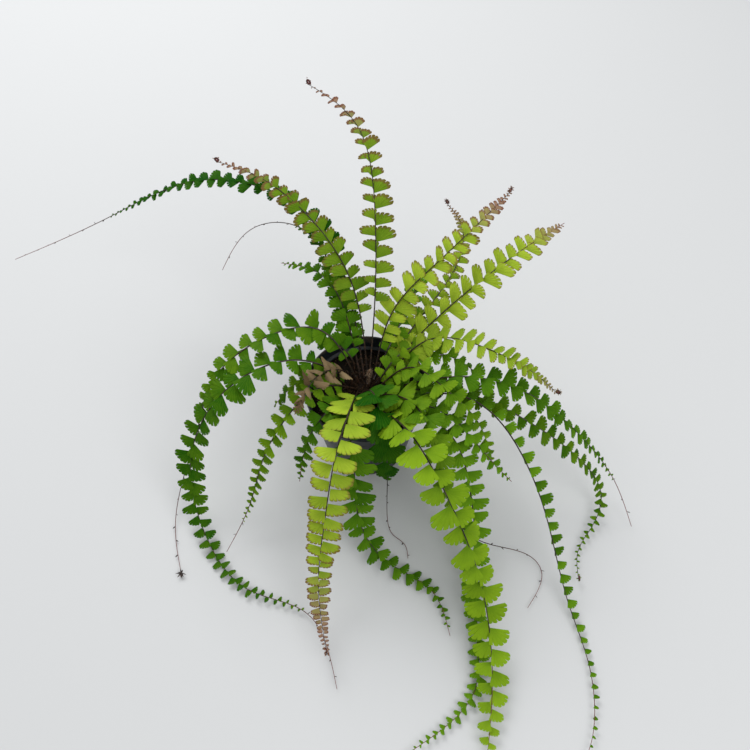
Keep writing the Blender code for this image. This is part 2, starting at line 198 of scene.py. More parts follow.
# %% The spline
def smooth_curve(points, samples=400):
    """Points along the natural cubic spline through the given points, evenly spaced, in metres.
    The knots are the sums of the roots of the stretches' lengths."""
    p = np.array(points, float) * MM
    knots = np.concatenate([[0], np.cumsum(np.linalg.norm(np.diff(p, axis=0), axis=1) ** 0.5)])
    step = np.diff(knots)
    n = len(p)
    matrix = np.eye(n)
    right = np.zeros((n, 3))
    inner = np.arange(1, n - 1)
    slopes = np.diff(p, axis=0) / step[:, None]
    matrix[inner, inner - 1] = step[:-1]
    matrix[inner, inner] = 2 * (step[:-1] + step[1:])
    matrix[inner, inner + 1] = step[1:]
    right[1:-1] = 6 * np.diff(slopes, axis=0)
    bend = np.linalg.solve(matrix, right)
    t = np.linspace(0, knots[-1], samples)
    i = np.clip(np.searchsorted(knots, t, side="right") - 1, 0, n - 2)
    h = step[i][:, None]
    a = (knots[i + 1] - t)[:, None]
    b = (t - knots[i])[:, None]
    curve = (bend[i] * a**3 + bend[i + 1] * b**3) / (6 * h)
    curve += (p[i] / h - bend[i] * h / 6) * a + (p[i + 1] / h - bend[i + 1] * h / 6) * b
    along = np.concatenate([[0], np.cumsum(np.linalg.norm(np.diff(curve, axis=0), axis=1))])
    even = np.linspace(0, along[-1], samples)
    return np.stack([np.interp(even, along, curve[:, k]) for k in range(3)], axis=1)


def unit(vectors):
    """Each vector divided by its own length."""
    return vectors / np.linalg.norm(vectors, axis=-1, keepdims=True)


print("a level arch 20 mm high:", smooth_curve([(0, 0, 0), (30, 0, 20), (60, 0, 0)], 5).round(4))

# %% [markdown]
# A young tip is still rolled up like the head of a violin, so its stalk's line ends in a flat
# spiral. It begins along the last bit of the line, whose length makes room for it, and turns
# towards the upper side.

# %% The stalk that follows the spline
class Stalk:
    """A line with a frame at each point. Across is level: along turned a quarter to the right.
    Away is across times along. With a crozier, the line ends in a spiral round a point that is
    the crozier's radius above its end: angle a has the radius
    crozier * (1 - shrink * a / last angle)."""

    shrink = 0.72
    room = 1.6

    def __init__(self, points, crozier=0.0, turns=1.9):
        """Points are in mm. The straight part ends early by the room, in crozier radii."""
        line = smooth_curve(points)
        along = unit(np.gradient(line, axis=0))
        across = unit(np.stack([along[:, 1], -along[:, 0], np.zeros(len(along))], axis=1))
        self.straight_length = np.linalg.norm(np.diff(line, axis=0), axis=1).sum()
        if crozier:
            keep = int(len(line) * (1 - self.room * crozier * MM / self.straight_length))
            line, along, across = line[:keep], along[:keep], across[:keep]
            self.straight_length = np.linalg.norm(np.diff(line, axis=0), axis=1).sum()
            angle = np.linspace(0, 2 * pi * turns, 60)[1:, None]
            radius = crozier * MM * (1 - self.shrink * angle / angle[-1])
            upper = np.cross(across[-1], along[-1])
            middle = line[-1] + upper * crozier * MM
            spiral = middle + radius * (along[-1] * np.sin(angle) - upper * np.cos(angle))
            line = np.concatenate([line, spiral])
            along = unit(np.gradient(line, axis=0))
            across = np.concatenate([across, np.repeat(across[-1:], len(spiral), axis=0)])
        self.line, self.along, self.across = line, along, across
        self.away = unit(np.cross(across, along))
        steps = np.linalg.norm(np.diff(line, axis=0), axis=1)
        self.distance = np.concatenate([[0], np.cumsum(steps)])
        self.length = self.distance[-1]

    def at(self, distances):
        """The points at these distances from the crown, and their along, across and away."""
        rows = (self.line, self.along, self.across, self.away)
        found = [np.stack([np.interp(distances, self.distance, row[:, k]) for k in range(3)],
                          axis=1) for row in rows]
        return [found[0], *(unit(direction) for direction in found[1:])]


rolled_up = Stalk([(0, 0, 0), (30, 0, 20), (60, 0, 0)], crozier=2.0)
print("the same arch with a crozier is", round(rolled_up.length / MM, 1), "mm long")

# %% [markdown]
# ## The fronds
#
# Each frond repeats the route of its solid: from the crown, up and over the rim, and down or
# along the surface to its tip. What differs from frond to frond is its age, the length of its
# leaflets, the part of the stalk that has them (its blade), how fast they shrink towards the tip
# (its taper) and the leaflet's outline, from a broad fan to a narrow oblong.

# %% The table of fronds
@dataclass
class Frond:
    """Lengths are in mm and angles in degrees. The route runs from above the crown to the tip.

    leaflet       length of the longest leaflets
    look          which leaf finish they wear
    blade         the part of the stalk that has leaflets, from 0 at the crown to 1 at the tip
    taper         how late they shrink towards the tip: 1 is at once, 5 is only at the end
    pitch         distance from one to the next on the same side, in leaflet lengths
    spread        0 if small leaflets stand close, 1 if they stand as far apart as the long ones
    sides         1 is the right of someone who looks towards the tip, -1 the left
    tone          range of the green, from 0, deep, to 1, fresh: partly freshness, partly painted shade
    rust          how much of the edge and the tip has turned brown
    breadth       height of a leaflet beside its length
    squareness    2 for a rounded outline, 4 for a nearly square one
    left_share    length of the left leaflets beside the right ones
    sweep         lean of the leaflets towards the tip, at the foot and at the tip of the blade
    lift          how far they are raised above level
    crozier       radius of the rolled tip, or 0
    bud           whether a plantlet grows at the tip"""

    name: str
    route: tuple
    leaflet: float
    look: str = "green"
    blade: tuple = (0.07, 0.98)
    taper: float = 2.5
    pitch: float = 0.8
    spread: float = 0.35
    sides: tuple = (1, -1)
    tone: tuple = (0.0, 1.0)
    rust: float = 0.0
    breadth: float = 0.68
    squareness: float = 2.6
    left_share: float = 1.0
    sweep: tuple = (10.0, 36.0)
    lift: float = 8.0
    crozier: float = 0.0
    bud: bool = False


# On fronds that lie in the plant's shadow, a low tone range or the dark finish is painted shade.
FRONDS = (
    Frond("frond_left_small",
          ((-25, -10, 76), (-42, -24, 70), (-56, -40, 52), (-66, -56, 24), (-80, -76, 4)),
          leaflet=9.5, blade=(0.07, 0.85), tone=(0.3, 0.6), breadth=0.6),
    Frond("frond_front_left_short",
          ((-15, -20, 76), (-26, -30, 72), (-34, -40, 54), (-37, -48, 38)),
          leaflet=10, look="dark", tone=(0.2, 0.6)),
    Frond("frond_front_left_young",
          ((-8, -30, 86), (-15, -56, 84), (-21, -82, 60), (-25, -106, 28), (-20, -138, 12)),
          leaflet=14, look="young", pitch=0.66, spread=0, tone=(0.6, 0.95), rust=0.5, breadth=0.6,
          squareness=3.6, sweep=(2.0, 18.0), lift=0, crozier=2.0),
    Frond("frond_front_trailing",
          ((-8, -38, 76), (-6, -54, 60), (-4, -66, 30), (6, -78, 9), (22, -88, 3), (38, -100, 3),
           (46, -124, 3)),
          leaflet=12.5, look="dark", tone=(0.3, 0.8), breadth=0.72),
    Frond("frond_front_hanging",
          ((5, -20, 84), (10, -38, 72), (12, -46, 42), (12, -54, 14), (15, -64, 2), (22, -70, 1.5),
           (24, -79, 1.5)),
          leaflet=14, look="dark", blade=(0.07, 0.6), taper=4, pitch=0.66, tone=(0.0, 0.2),
          breadth=0.8),
    Frond("frond_front_longest",
          ((20, -40, 86), (36, -66, 82), (55, -96, 52), (65, -122, 22), (66, -155, 10),
           (60, -196, 3)),
          leaflet=14, taper=5, pitch=0.85, tone=(0.75, 1.0), breadth=0.76, squareness=2.8,
          sweep=(6.0, 20.0), lift=0),
    Frond("frond_front_right_runner",
          ((25, -25, 84), (38, -48, 74), (45, -64, 48), (64, -74, 16), (92, -77, 3),
           (100, -88, 1.5), (90, -108, 1.5)),
          leaflet=14, blade=(0.07, 0.52), tone=(0.2, 0.6), breadth=0.74),
    Frond("frond_front_right_dark",
          ((40, -26, 78), (64, -44, 64), (80, -52, 46)),
          leaflet=11, look="dark", tone=(0.5, 1.0)),
    Frond("frond_front_right_trailing",
          ((44, -34, 70), (56, -54, 50), (61, -78, 20), (61, -115, 3), (58, -152, 3), (40, -172, 3),
           (18, -186, 3)),
          leaflet=11, look="dark", tone=(0.8, 1.0)),
    Frond("frond_right_trailing",
          ((58, -18, 76), (85, -48, 64), (100, -75, 36), (112, -108, 7), (120, -142, 3),
           (116, -178, 3), (105, -195, 3)),
          leaflet=8, look="dark", pitch=1.1, sides=(-1,), tone=(0.4, 0.9), breadth=0.8),
    Frond("frond_right_long",
          ((52, -8, 84), (88, -15, 78), (120, -25, 50), (145, -38, 18), (155, -60, 3)),
          leaflet=11, look="dark", blade=(0.07, 0.85), tone=(0.3, 0.7)),
    Frond("frond_right_hooked",
          ((48, -8, 70), (92, -25, 62), (124, -36, 36), (138, -45, 10), (132, -60, 4),
           (122, -75, 3), (120, -95, 4)),
          leaflet=10.5, taper=1.6, pitch=0.85, tone=(0.1, 0.45), crozier=1.7),
    Frond("frond_front_right_pale",
          ((25, -2, 84), (42, -18, 88), (60, -30, 74), (70, -45, 48)),
          leaflet=11, tone=(0.3, 0.7)),
    Frond("frond_right_short",
          ((33, 9, 80), (50, 6, 80), (66, 2, 66)),
          leaflet=10, look="dark", tone=(0.5, 1.0)),
    Frond("frond_right_low",
          ((12, 6, 71), (22, 14, 77), (34, 17, 77), (46, 15, 66)),
          leaflet=8.5, tone=(0.3, 0.7)),
    Frond("frond_right_middle",
          ((35, 15, 86), (65, 3, 95), (90, -8, 88), (105, -15, 76)),
          leaflet=12, look="young", pitch=0.62, spread=0, tone=(0.4, 0.7), rust=0.25, breadth=0.54,
          squareness=3.2, crozier=1.6),
    Frond("frond_right_upper",
          ((35, 25, 85), (60, 36, 108), (85, 52, 118), (110, 70, 120)),
          leaflet=14, look="young", pitch=0.62, spread=0, blade=(0.14, 0.98), taper=4,
          tone=(0.8, 1.0), rust=0.3, breadth=0.5, squareness=3.2, sweep=(16.0, 34.0)),
    Frond("frond_back_right_curl",
          ((28, 30, 80), (50, 55, 98), (55, 80, 106), (45, 97, 110)),
          leaflet=8.5, look="young", spread=0, tone=(0.3, 0.7), rust=0.5, crozier=1.6),
    Frond("frond_back_right_short",
          ((20, 32, 80), (28, 46, 90), (38, 66, 94)),
          leaflet=9, look="dark", blade=(0.2, 0.98), tone=(0.5, 0.9)),
    Frond("frond_back_right_young",
          ((15, 30, 92), (35, 42, 114), (60, 58, 132), (80, 78, 138)),
          leaflet=12.5, look="young", pitch=0.66, spread=0, blade=(0.16, 0.98), taper=3.2,
          tone=(0.7, 1.0), rust=0.6, breadth=0.52, squareness=3.2, sweep=(14.0, 36.0),
          crozier=1.6),
    Frond("frond_back_tall",
          ((5, 35, 95), (5, 70, 132), (-5, 115, 150), (-35, 145, 155)),
          leaflet=12.5, look="young", pitch=0.72, spread=0.4, blade=(0.24, 0.98), taper=3,
          tone=(0.1, 0.4), rust=1.0, breadth=0.62, squareness=3.2, left_share=0.72,
          sweep=(16.0, 44.0), lift=-4, crozier=1.8),
    Frond("frond_back_left_young",
          ((-9, 50, 96), (-35, 75, 125), (-60, 90, 136), (-85, 100, 138)),
          leaflet=11.5, look="young", pitch=0.66, spread=0.4, blade=(0.22, 0.98), taper=3,
          tone=(0.0, 0.25), rust=0.8, breadth=0.6, squareness=3.2, sweep=(12.0, 40.0),
          crozier=1.6),
    Frond("frond_far_left_runner",
          ((-19, 74, 96), (-46, 92, 117), (-95, 105, 118), (-155, 100, 92), (-220, 95, 60)),
          leaflet=9, look="dark", pitch=0.9, blade=(0.22, 0.76), tone=(0.0, 0.15), breadth=0.78),
    Frond("frond_back_left_bare_tip",
          ((-20, 65, 86), (-40, 90, 95), (-70, 98, 84), (-90, 88, 58)),
          leaflet=9, look="dark", blade=(0.12, 0.6), tone=(0.2, 0.6)),
    Frond("frond_back_left_short",
          ((-15, 45, 84), (-28, 58, 92), (-50, 70, 86)),
          leaflet=9.5, look="dark", blade=(0.2, 0.98), tone=(0.3, 0.7)),
    Frond("frond_back_left_low",
          ((-8, 12, 72), (-21, 22, 77), (-34, 31, 72), (-45, 37, 58)),
          leaflet=9, look="dark", blade=(0.2, 0.98), tone=(0.2, 0.6)),
    Frond("frond_left_upper",
          ((-25, 20, 88), (-55, 12, 92), (-82, -4, 78), (-96, -20, 46), (-108, -34, 14),
           (-112, -58, 2), (-105, -88, 2)),
          leaflet=12, blade=(0.1, 0.6), tone=(0.05, 0.35), breadth=0.7, sweep=(4.0, 30.0),
          bud=True),
    Frond("frond_dried",
          ((-12, 2, 74), (-24, -6, 84), (-33, -19, 83), (-38, -27, 76)),
          leaflet=9, look="dry", blade=(0.25, 0.98), pitch=0.66, spread=0, breadth=0.5, lift=35),
    Frond("frond_left_arching",
          ((-35, 0, 88), (-65, -9, 86), (-88, -22, 66), (-100, -40, 32), (-92, -68, 4),
           (-66, -98, 3), (-32, -112, 3), (-15, -152, 2)),
          leaflet=12.5, taper=1.8, blade=(0.1, 0.85), tone=(0.0, 0.2), breadth=0.72,
          sweep=(4.0, 30.0)),
    Frond("frond_left_short",
          ((-22, -1, 76), (-38, -6, 74), (-52, -10, 56)),
          leaflet=11, tone=(0.05, 0.4)),
)
print(len(FRONDS), "fronds:", {look: sum(frond.look == look for frond in FRONDS)
                               for look in ("young", "green", "dark", "dry")})

# %% [markdown]
# The stalks stand in two rings on the crown, a low woody clump, as they do in the frame. Its size
# and place are read from the frame.

# %% Where each stalk starts
CROWN_LOW, CROWN_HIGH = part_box("crown")
CROWN_RADII = np.array((CROWN_HIGH - CROWN_LOW) / 2)
CROWN_MIDDLE = np.array((CROWN_HIGH + CROWN_LOW) / 2)
ROOT_RING_RADII = (6.0, 10.0)
ROOT_RING_START = -166.0
ROOT_LIFT = 1.1


def crown_height(x, y):
    """The height of the crown's ellipsoid above (x, y), in metres: its middle's height plus its
    upright radius times the root of 1 - (x / radius)^2 - (y / radius)^2."""
    inside = np.maximum(0, 1 - (x / CROWN_RADII[0]) ** 2 - (y / CROWN_RADII[1]) ** 2)
    return CROWN_MIDDLE[2] + CROWN_RADII[2] * np.sqrt(inside)


def root_point(index):
    """The foot of stalk number index, in mm: even steps round the two rings by turns, and a
    little above the crown."""
    turn = radians(ROOT_RING_START + 360 * index / len(FRONDS))
    x, y = ROOT_RING_RADII[index % 2] * cos(turn), ROOT_RING_RADII[index % 2] * sin(turn)
    return (x, y, crown_height(x * MM, y * MM) / MM + ROOT_LIFT)


print("crown:", (CROWN_RADII * 2 / MM).round(1), "mm, first foot at", np.round(root_point(0), 1))

# %% [markdown]
# ## One leaflet
#
# A leaflet of this fern is half a fan. Its lower edge is straight, its inner edge runs beside the
# stalk, and its upper and outer edge is rounded and cut into six lobes by narrow slits. The
# outline is drawn as a superellipse, a curve between an ellipse and a rectangle, and the slits
# are pressed into it. Each frond draws eight such outlines, with slits of other depths, and each
# of its leaflets takes one of them.

# %% A leaflet's outline
LOBES = 6
LOBE_STEPS = np.array([0.0, 0.09, 0.5, 0.91])
RIM_SHARE = np.append(((np.arange(LOBES)[:, None] + LOBE_STEPS) / LOBES).ravel(), 1.0)
RIM_POINTS = len(RIM_SHARE)
INNER_EDGE = 84.0
CORNER_ROUNDING = 0.14
CORNER_WIDTH = radians(10)
CREST_DIP = 0.03
SLIT_DEPTHS = (0.08, 0.27)
LOWER_CURL = 0.1
VARIANTS = 8


def leaflet_outline(breadth, squareness, chance):
    """Points (outwards, upwards) from the outer end of the straight edge round to the inner edge,
    for a leaflet of length 1. The distance from the foot at angle a is
    (cos(a)^n + (sin(a) / breadth)^n)^(-1/n), with n the squareness, and it is less by a small bell
    curve near angle 0, which rounds the outer corner. A lobe has four points: the bottom of its
    slit, two shoulders and its crest, and each is drawn in by its own share. A slow sine wave
    makes some lobes longer, and the lower edge curls back by LOWER_CURL * out^2."""
    angle = np.radians(np.linspace(0, INNER_EDGE, 300))
    n = squareness
    reach = (np.cos(angle) ** n + (np.sin(angle) / breadth) ** n) ** (-1 / n)
    reach *= 1 - CORNER_ROUNDING * np.exp(-(angle / CORNER_WIDTH) ** 2)
    outline = np.stack([reach * np.cos(angle), reach * np.sin(angle)], axis=1)
    length = np.concatenate([[0], np.cumsum(np.linalg.norm(np.diff(outline, axis=0), axis=1))])
    even = np.stack([np.interp(RIM_SHARE * length[-1], length, outline[:, k]) for k in (0, 1)],
                    axis=1)
    drawn_in = np.append(np.tile([0.0, CREST_DIP, 0.0, CREST_DIP], LOBES), 0.08)
    drawn_in[:2] = 0.08, 0.04
    drawn_in[4:-1:4] = chance.uniform(*SLIT_DEPTHS, LOBES - 1)
    swell = 1 + 0.035 * np.sin(2 * pi * (RIM_SHARE * 1.5 + chance.uniform()))
    drawn = even * (swell * (1 - drawn_in))[:, None]
    drawn[:, 1] -= LOWER_CURL * drawn[:, 0] ** 2
    return drawn


print("an outline has", RIM_POINTS, "points for", LOBES, "lobes")

# %% [markdown]
# The thin blade is a closed shell. Its upper skin has a ring of points between the foot and the
# rim, so that it can bulge, and its lower skin goes straight from foot to rim. There are well
# over a thousand leaflets, so each has only 74 faces. All leaflets share one numbering of their
# points, which is worked out once: the foot, then the upper ring, then the rim.

# %% The shell's numbering
RING_REACH = 0.6
UPPER_RING = 1 + np.arange(RIM_POINTS)
RIM = UPPER_RING + RIM_POINTS
SHELL_POINTS = 1 + 2 * RIM_POINTS
SHELL_REACH = np.concatenate([[0.0], np.full(RIM_POINTS, RING_REACH), np.ones(RIM_POINTS)])
SHELL_STEP = np.concatenate([[0], np.arange(RIM_POINTS), np.arange(RIM_POINTS)])
SHELL_LAYER = np.where(SHELL_REACH == RING_REACH, 1.0, 0.0)
FOOT = np.zeros(RIM_POINTS - 1, int)
UPPER_FAN = np.stack([FOOT, UPPER_RING[:-1], UPPER_RING[1:]], axis=1)
UPPER_BAND = np.stack([UPPER_RING[:-1], RIM[:-1], RIM[1:], UPPER_RING[1:]], axis=1)
LOWER_FAN = np.stack([FOOT, RIM[1:], RIM[:-1]], axis=1)
SHELL_ENDS = np.array([[0, RIM[0], UPPER_RING[0]], [0, UPPER_RING[-1], RIM[-1]]])
SHELL_PARTS = ((UPPER_FAN, 0), (UPPER_BAND, 0), (LOWER_FAN, 1), (SHELL_ENDS, 1))
print("leaflet:", SHELL_POINTS, "points,", sum(len(part) for part, _ in SHELL_PARTS), "faces")

# %% [markdown]
# ## A row of leaflets
#
# All the leaflets on one side of a frond are made at once. Each has a foot on the stalk and three
# directions: outwards, upwards along the stalk, and its own normal. The flat outline is carried
# into them and bent: the blade droops towards its end, its edges turn down a little, and each
# leaflet is turned a few degrees so that it overlaps the next one like a roof tile.

# %% Staying above the surface, and a place in the flat map
FLOOR_CLEARANCE = 0.35 * MM
FLOOR_SOFTNESS = 1.2 * MM
FLAT_STALK_HEIGHT = 0.06


def above_floor(points):
    """Heights are eased so that nothing passes below the surface that the pot stands on. The
    eased height is (h + root of (h^2 + softness^2)) / 2, and it fades into h a centimetre up."""
    height = points[..., 2] - FLOOR_CLEARANCE
    eased = (height + np.sqrt(height**2 + FLOOR_SOFTNESS**2)) / 2
    near = np.clip(1 - height / (8 * FLOOR_SOFTNESS), 0, 1)
    points[..., 2] += near * (eased - height)
    return points


def leaflet_flat(count):
    """The lower left corner of each leaflet's cell in the flat map, and the size of a cell. The
    cells fill rows from the bottom, and leave a strip for the stalk at the top."""
    columns = int(np.ceil(np.sqrt(count * 0.4)))
    rows = int(np.ceil(count / columns))
    cell = np.arange(count)
    size = np.array([1 / columns, (1 - FLAT_STALK_HEIGHT) / rows])
    return np.stack([cell % columns, cell // columns], axis=1) * size, size


print("a frond of 60 leaflets has map cells of", leaflet_flat(60)[1].round(3))

# %% [markdown]
# A leaflet could be one object copied many times, but then all would bend alike. So the points of
# the whole row are computed at once, each leaflet with its own outline, size and bends.

# %% Placing and bending leaflets
LEAF_THICKNESS = 0.2 * MM
UPPER_SKIN_MARGIN = (0.03, 0.14)
SKIN_IN_CELL = (0.36, 0.8)


def row_of_leaflets(feet, frames, sizes, outlines, bends, side, marks, cells):
    """A point of the shell is foot + size * (out * outwards + up * upwards + height * normal).
    Out and up come from the outline times the point's reach. The height is
    -droop * out^2 - cup * (2 * up / breadth - 1)^2 * reach - ripple * wave * reach^3, where wave
    is 1 at a slit and -1 at a lobe's crest. The upper ring is raised by the thickness. In the
    flat map, the upper skin fills the left half of the leaflet's cell and the lower skin the
    right half, each laid out by its own out and up."""
    outwards, upwards, normal = (direction[:, None] for direction in frames)
    droop, cup, ripple = (bend[:, None] for bend in bends)
    flat = outlines[:, SHELL_STEP] * SHELL_REACH[None, :, None]
    out, up = flat[..., 0], flat[..., 1]
    breadth = outlines[:, :, 1].max(axis=1)[:, None]
    wave = np.cos(2 * pi * LOBES * RIM_SHARE[SHELL_STEP]) * SHELL_REACH**3
    height = -droop * out**2 - cup * (2 * up / breadth - 1) ** 2 * SHELL_REACH - ripple * wave
    bent = out[..., None] * outwards + up[..., None] * upwards + height[..., None] * normal
    points = feet[:, None] + sizes[:, None, None] * bent
    points += (SHELL_LAYER * LEAF_THICKNESS)[None, :, None] * normal
    points = above_floor(points)

    corners, cell_size = cells
    local = np.array(UPPER_SKIN_MARGIN) + np.array(SKIN_IN_CELL) * np.stack([out, up], axis=-1)
    starts = (np.arange(len(feet)) * SHELL_POINTS)[:, None, None]
    faces, flats = [], []
    for numbers, lower in SHELL_PARTS:
        turned = numbers[:, ::side]
        faces.append((starts + turned).reshape(-1, turned.shape[1]))
        place = local[:, turned] + np.array([0.5 * lower, 0.0])
        flats.append((corners[:, None, None] + place * cell_size).reshape(-1, turned.shape[1], 2))
    kept = {name: np.repeat(values, SHELL_POINTS) for name, values in marks.items()}
    kept["reach"] = np.tile(SHELL_REACH, len(feet))
    kept["out"] = out.ravel()
    kept["up"] = (up + LOWER_CURL * out**2).ravel()
    return Shape(points.reshape(-1, 3), faces, 0, kept, flats)

# %% [markdown]
# The leaflets stand by turns on the two sides of the stalk. How far apart they are depends on
# their own length, and on an old frond also on the frond's longest ones, so its small tip
# leaflets stand further apart.

# %% How long the leaflets are, and how far apart
SHORTEST_PITCH = 2.3
CROZIER_PITCH = 1.1
TIP_GAP = 0.6
FIRST_SHARE = 0.7
TIP_SHARE = 0.12


def leaflet_size(frond, u):
    """The length in metres at u, from 0 at the foot of the blade to 1 at its tip: the frond's
    longest, times 0.7 + 2 * u up to 1, times 1 - (1 - tip share) * u^taper."""
    growing = np.minimum(1, FIRST_SHARE + 2 * u)
    shrinking = TIP_SHARE + (1 - TIP_SHARE) * (1 - u**frond.taper)
    return frond.leaflet * MM * growing * shrinking


def leaflet_places(frond, stalk, first):
    """Distances from the crown. The next leaflet stands pitch * (size + spread * (longest - size))
    past the last one, and never closer than the shortest pitch."""
    start, end = (part * stalk.straight_length for part in frond.blade)
    last = stalk.length - TIP_GAP * MM if frond.crozier else end
    distance = start + first * frond.pitch * leaflet_size(frond, 0.0)
    places = []
    while distance < last:
        places.append(distance)
        size = leaflet_size(frond, min(1.0, (distance - start) / (end - start)))
        room = size + frond.spread * (frond.leaflet * MM - size)
        shortest = SHORTEST_PITCH if distance < stalk.straight_length else CROZIER_PITCH
        distance += max(shortest * MM, frond.pitch * room)
    return np.array(places)


print("on a frond of 10 mm leaflets they are",
      (leaflet_size(Frond("sample", (), 10.0), np.linspace(0, 1, 6)) / MM).round(1), "mm long")

# %% [markdown]
# A leaflet stands nearly level, leans a little towards the tip, more so further along the frond,
# and has its upper side turned to the light. No two are quite alike, so each angle is moved by
# chance, and by more on the dead frond.

# %% Which way the leaflets face
LEAN_TO_LIGHT = 1.0
TILE_TWIST = 9.0
LOOSENESS = {"dry": 25.0}
USUAL_LOOSENESS = 8.0


def leaflet_frames(frond, stalk, distances, u, side, chance):
    """Outwards, upwards and normal. Where the stalk climbs, its leaflets turn their upper side
    to the light, so away is leant towards straight up by how steep it is. Level is
    across * cos(sweep) + along * sin(sweep), and outwards is level * cos(rise) + away * sin(rise).
    Upwards and the normal are then turned about outwards by the twist."""
    count = len(distances)
    loose = LOOSENESS.get(frond.look, USUAL_LOOSENESS)
    _, along, across, away = stalk.at(distances)
    steepness = np.maximum(0, along[:, 2:])
    away = unit(away + LEAN_TO_LIGHT * steepness * np.array([0.0, 0.0, 1.0]))
    along = np.cross(away, across)
    sweep = np.radians(np.interp(u, (0, 1), frond.sweep) + chance.normal(0, 5, count))[:, None]
    rise = np.radians(frond.lift + chance.normal(0, loose, count))[:, None]
    twist = np.radians(TILE_TWIST + chance.normal(0, loose, count))[:, None]
    level = across * side * np.cos(sweep) + along * np.sin(sweep)
    forward = along * np.cos(sweep) - across * side * np.sin(sweep)
    outwards = level * np.cos(rise) + away * np.sin(rise)
    normal = away * np.cos(rise) - level * np.sin(rise)
    return (outwards, forward * np.cos(twist) + normal * np.sin(twist),
            normal * np.cos(twist) - forward * np.sin(twist))


print("the leaflets of the second frond lean", FRONDS[1].sweep, "degrees, foot and tip")

# %% [markdown]
# Now one side after the other is filled: the places along the stalk, the sizes, the directions, a
# foot just outside the stalk and under its middle, and how much each leaflet droops, cups and
# ripples. Leaflets on a rolled tip are smaller, and dead ones curl under.

# %% All the leaflets of a frond
ROLLED_SIZE = 0.6
DRY_CURL = 0.7
DROOP = (0.06, 0.2)
CUP = (0.01, 0.05)
RIPPLE = (0.0, 0.02)
SECOND_SIDE_START = 0.42
FOOT_OUT = 0.45 * MM
FOOT_UNDER = 0.3 * MM


def make_leaflets(frond, stalk, chance):
    """One shape for each side. A foot is the stalk's point + FOOT_OUT * outwards - FOOT_UNDER *
    away, and a size is leaflet_size times the side's share times a chance of 0.86 to 1.08."""
    outlines = np.stack([leaflet_outline(frond.breadth * chance.uniform(0.92, 1.08),
                                         frond.squareness, chance) for _ in range(VARIANTS)])
    start, end = (part * stalk.straight_length for part in frond.blade)
    places = [leaflet_places(frond, stalk, 0.0 if side > 0 else SECOND_SIDE_START)
              for side in frond.sides]
    corners, cell_size = leaflet_flat(sum(map(len, places)))
    curl = DRY_CURL if frond.look == "dry" else 0.0
    shapes, used = [], 0
    for side, distances in zip(frond.sides, places):
        count = len(distances)
        u = np.clip((distances - start) / (end - start), 0, 1)
        share = frond.left_share if side < 0 else 1.0
        share = share * np.where(distances > stalk.straight_length, ROLLED_SIZE, 1.0)
        sizes = leaflet_size(frond, u) * share * chance.uniform(0.86, 1.08, count)
        frames = leaflet_frames(frond, stalk, distances, u, side, chance)
        point, _, _, away = stalk.at(distances)
        feet = point + frames[0] * FOOT_OUT - away * FOOT_UNDER
        bends = (chance.uniform(*DROOP, count) + curl, chance.uniform(*CUP, count) + curl / 4,
                 chance.uniform(*RIPPLE, count))
        marks = {"age": u, "tone": chance.uniform(*frond.tone, count),
                 "rust": np.full(count, frond.rust)}
        cells = corners[used : used + count], cell_size
        used += count
        shapes.append(row_of_leaflets(feet, frames, sizes,
                                      outlines[chance.integers(0, VARIANTS, count)], bends, side,
                                      marks, cells))
    return shapes

# %% [markdown]
# ## The stalk
#
# The stalk is a wiry tube. A circle is carried along the line in the two directions across it,
# and its radius shrinks from the crown to the tip. A curve object with a round bevel would look
# the same, but a grid of rings keeps the count of faces low and marks each point with its age.

# %% Carrying a circle along a line
def tube(points, across, away, radii, sides=6, finish=1, corner=(0.0, 0.0), size=(1.0, 1.0)):
    """Ring k is point k + radius k * (cos(a) * away + sin(a) * across), with a round the
    circle. The age runs from 0 at the first ring to 1 at the last. The two end fans are too small
    to matter, so in the flat map each of them is one spot."""
    around = np.arange(sides) * 2 * pi / sides
    ring = (np.cos(around)[None, :, None] * away[:, None]
            + np.sin(around)[None, :, None] * across[:, None])
    rings = points[:, None] + radii[:, None, None] * ring
    rows = len(points)
    shape = closed_rings(points[:1], rings[None], points[-1:], finish)
    age = np.repeat(np.linspace(0, 1, rows), sides)
    shape.marks = {"age": np.concatenate([[0], age, [1]])}
    end_flat = np.broadcast_to(np.array(corner) + np.array(size) * 0.01, (sides, 3, 2))
    shape.flat = [end_flat, grid_flat(rows, sides, corner, size), end_flat]
    return shape

# %% [markdown]
# The stalk of a frond starts inside the crown, so that no gap shows at its foot. Its rings stand
# close on the rolled tip, where the line bends most, and wide apart elsewhere.

# %% One frond's stalk
STALK_RADIUS = (0.42, 0.16)
STALK_STEP = 2.2
ROOTED_DEPTH = 2.6
ROLL_STEPS = 40
ROLL_SHARE = (0.8, 1.0)


def make_stalk(frond, stalk):
    """The radius falls evenly from the crown to the tip, is half as much again at the foot, and
    swells over the rolled tip. The foot is let into the crown."""
    straight = np.linspace(0, stalk.straight_length,
                           int(stalk.straight_length / (STALK_STEP * MM)))
    rolled = (np.linspace(stalk.straight_length, stalk.length, ROLL_STEPS)[1:]
              if frond.crozier else [])
    distances = np.concatenate([[0.0], straight, rolled])
    point, _, across, away = stalk.at(distances)
    point[0, 2] -= ROOTED_DEPTH * MM
    share = distances / stalk.straight_length
    thin = STALK_RADIUS[1] / STALK_RADIUS[0]
    radii = np.interp(share, (0, 0.04, 0.15, 1), (1.5, 1.1, 1, thin))
    if frond.crozier:
        radii[len(straight) + 1:] = np.linspace(*ROLL_SHARE, len(rolled))
    return tube(point, across, away, radii * STALK_RADIUS[0] * MM, finish=1,
                corner=(0.0, 1 - FLAT_STALK_HEIGHT * 0.9), size=(1.0, FLAT_STALK_HEIGHT * 0.85))


print("stalks are", 2 * STALK_RADIUS[0], "mm thick near the crown and", 2 * STALK_RADIUS[1],
      "mm at the tip")

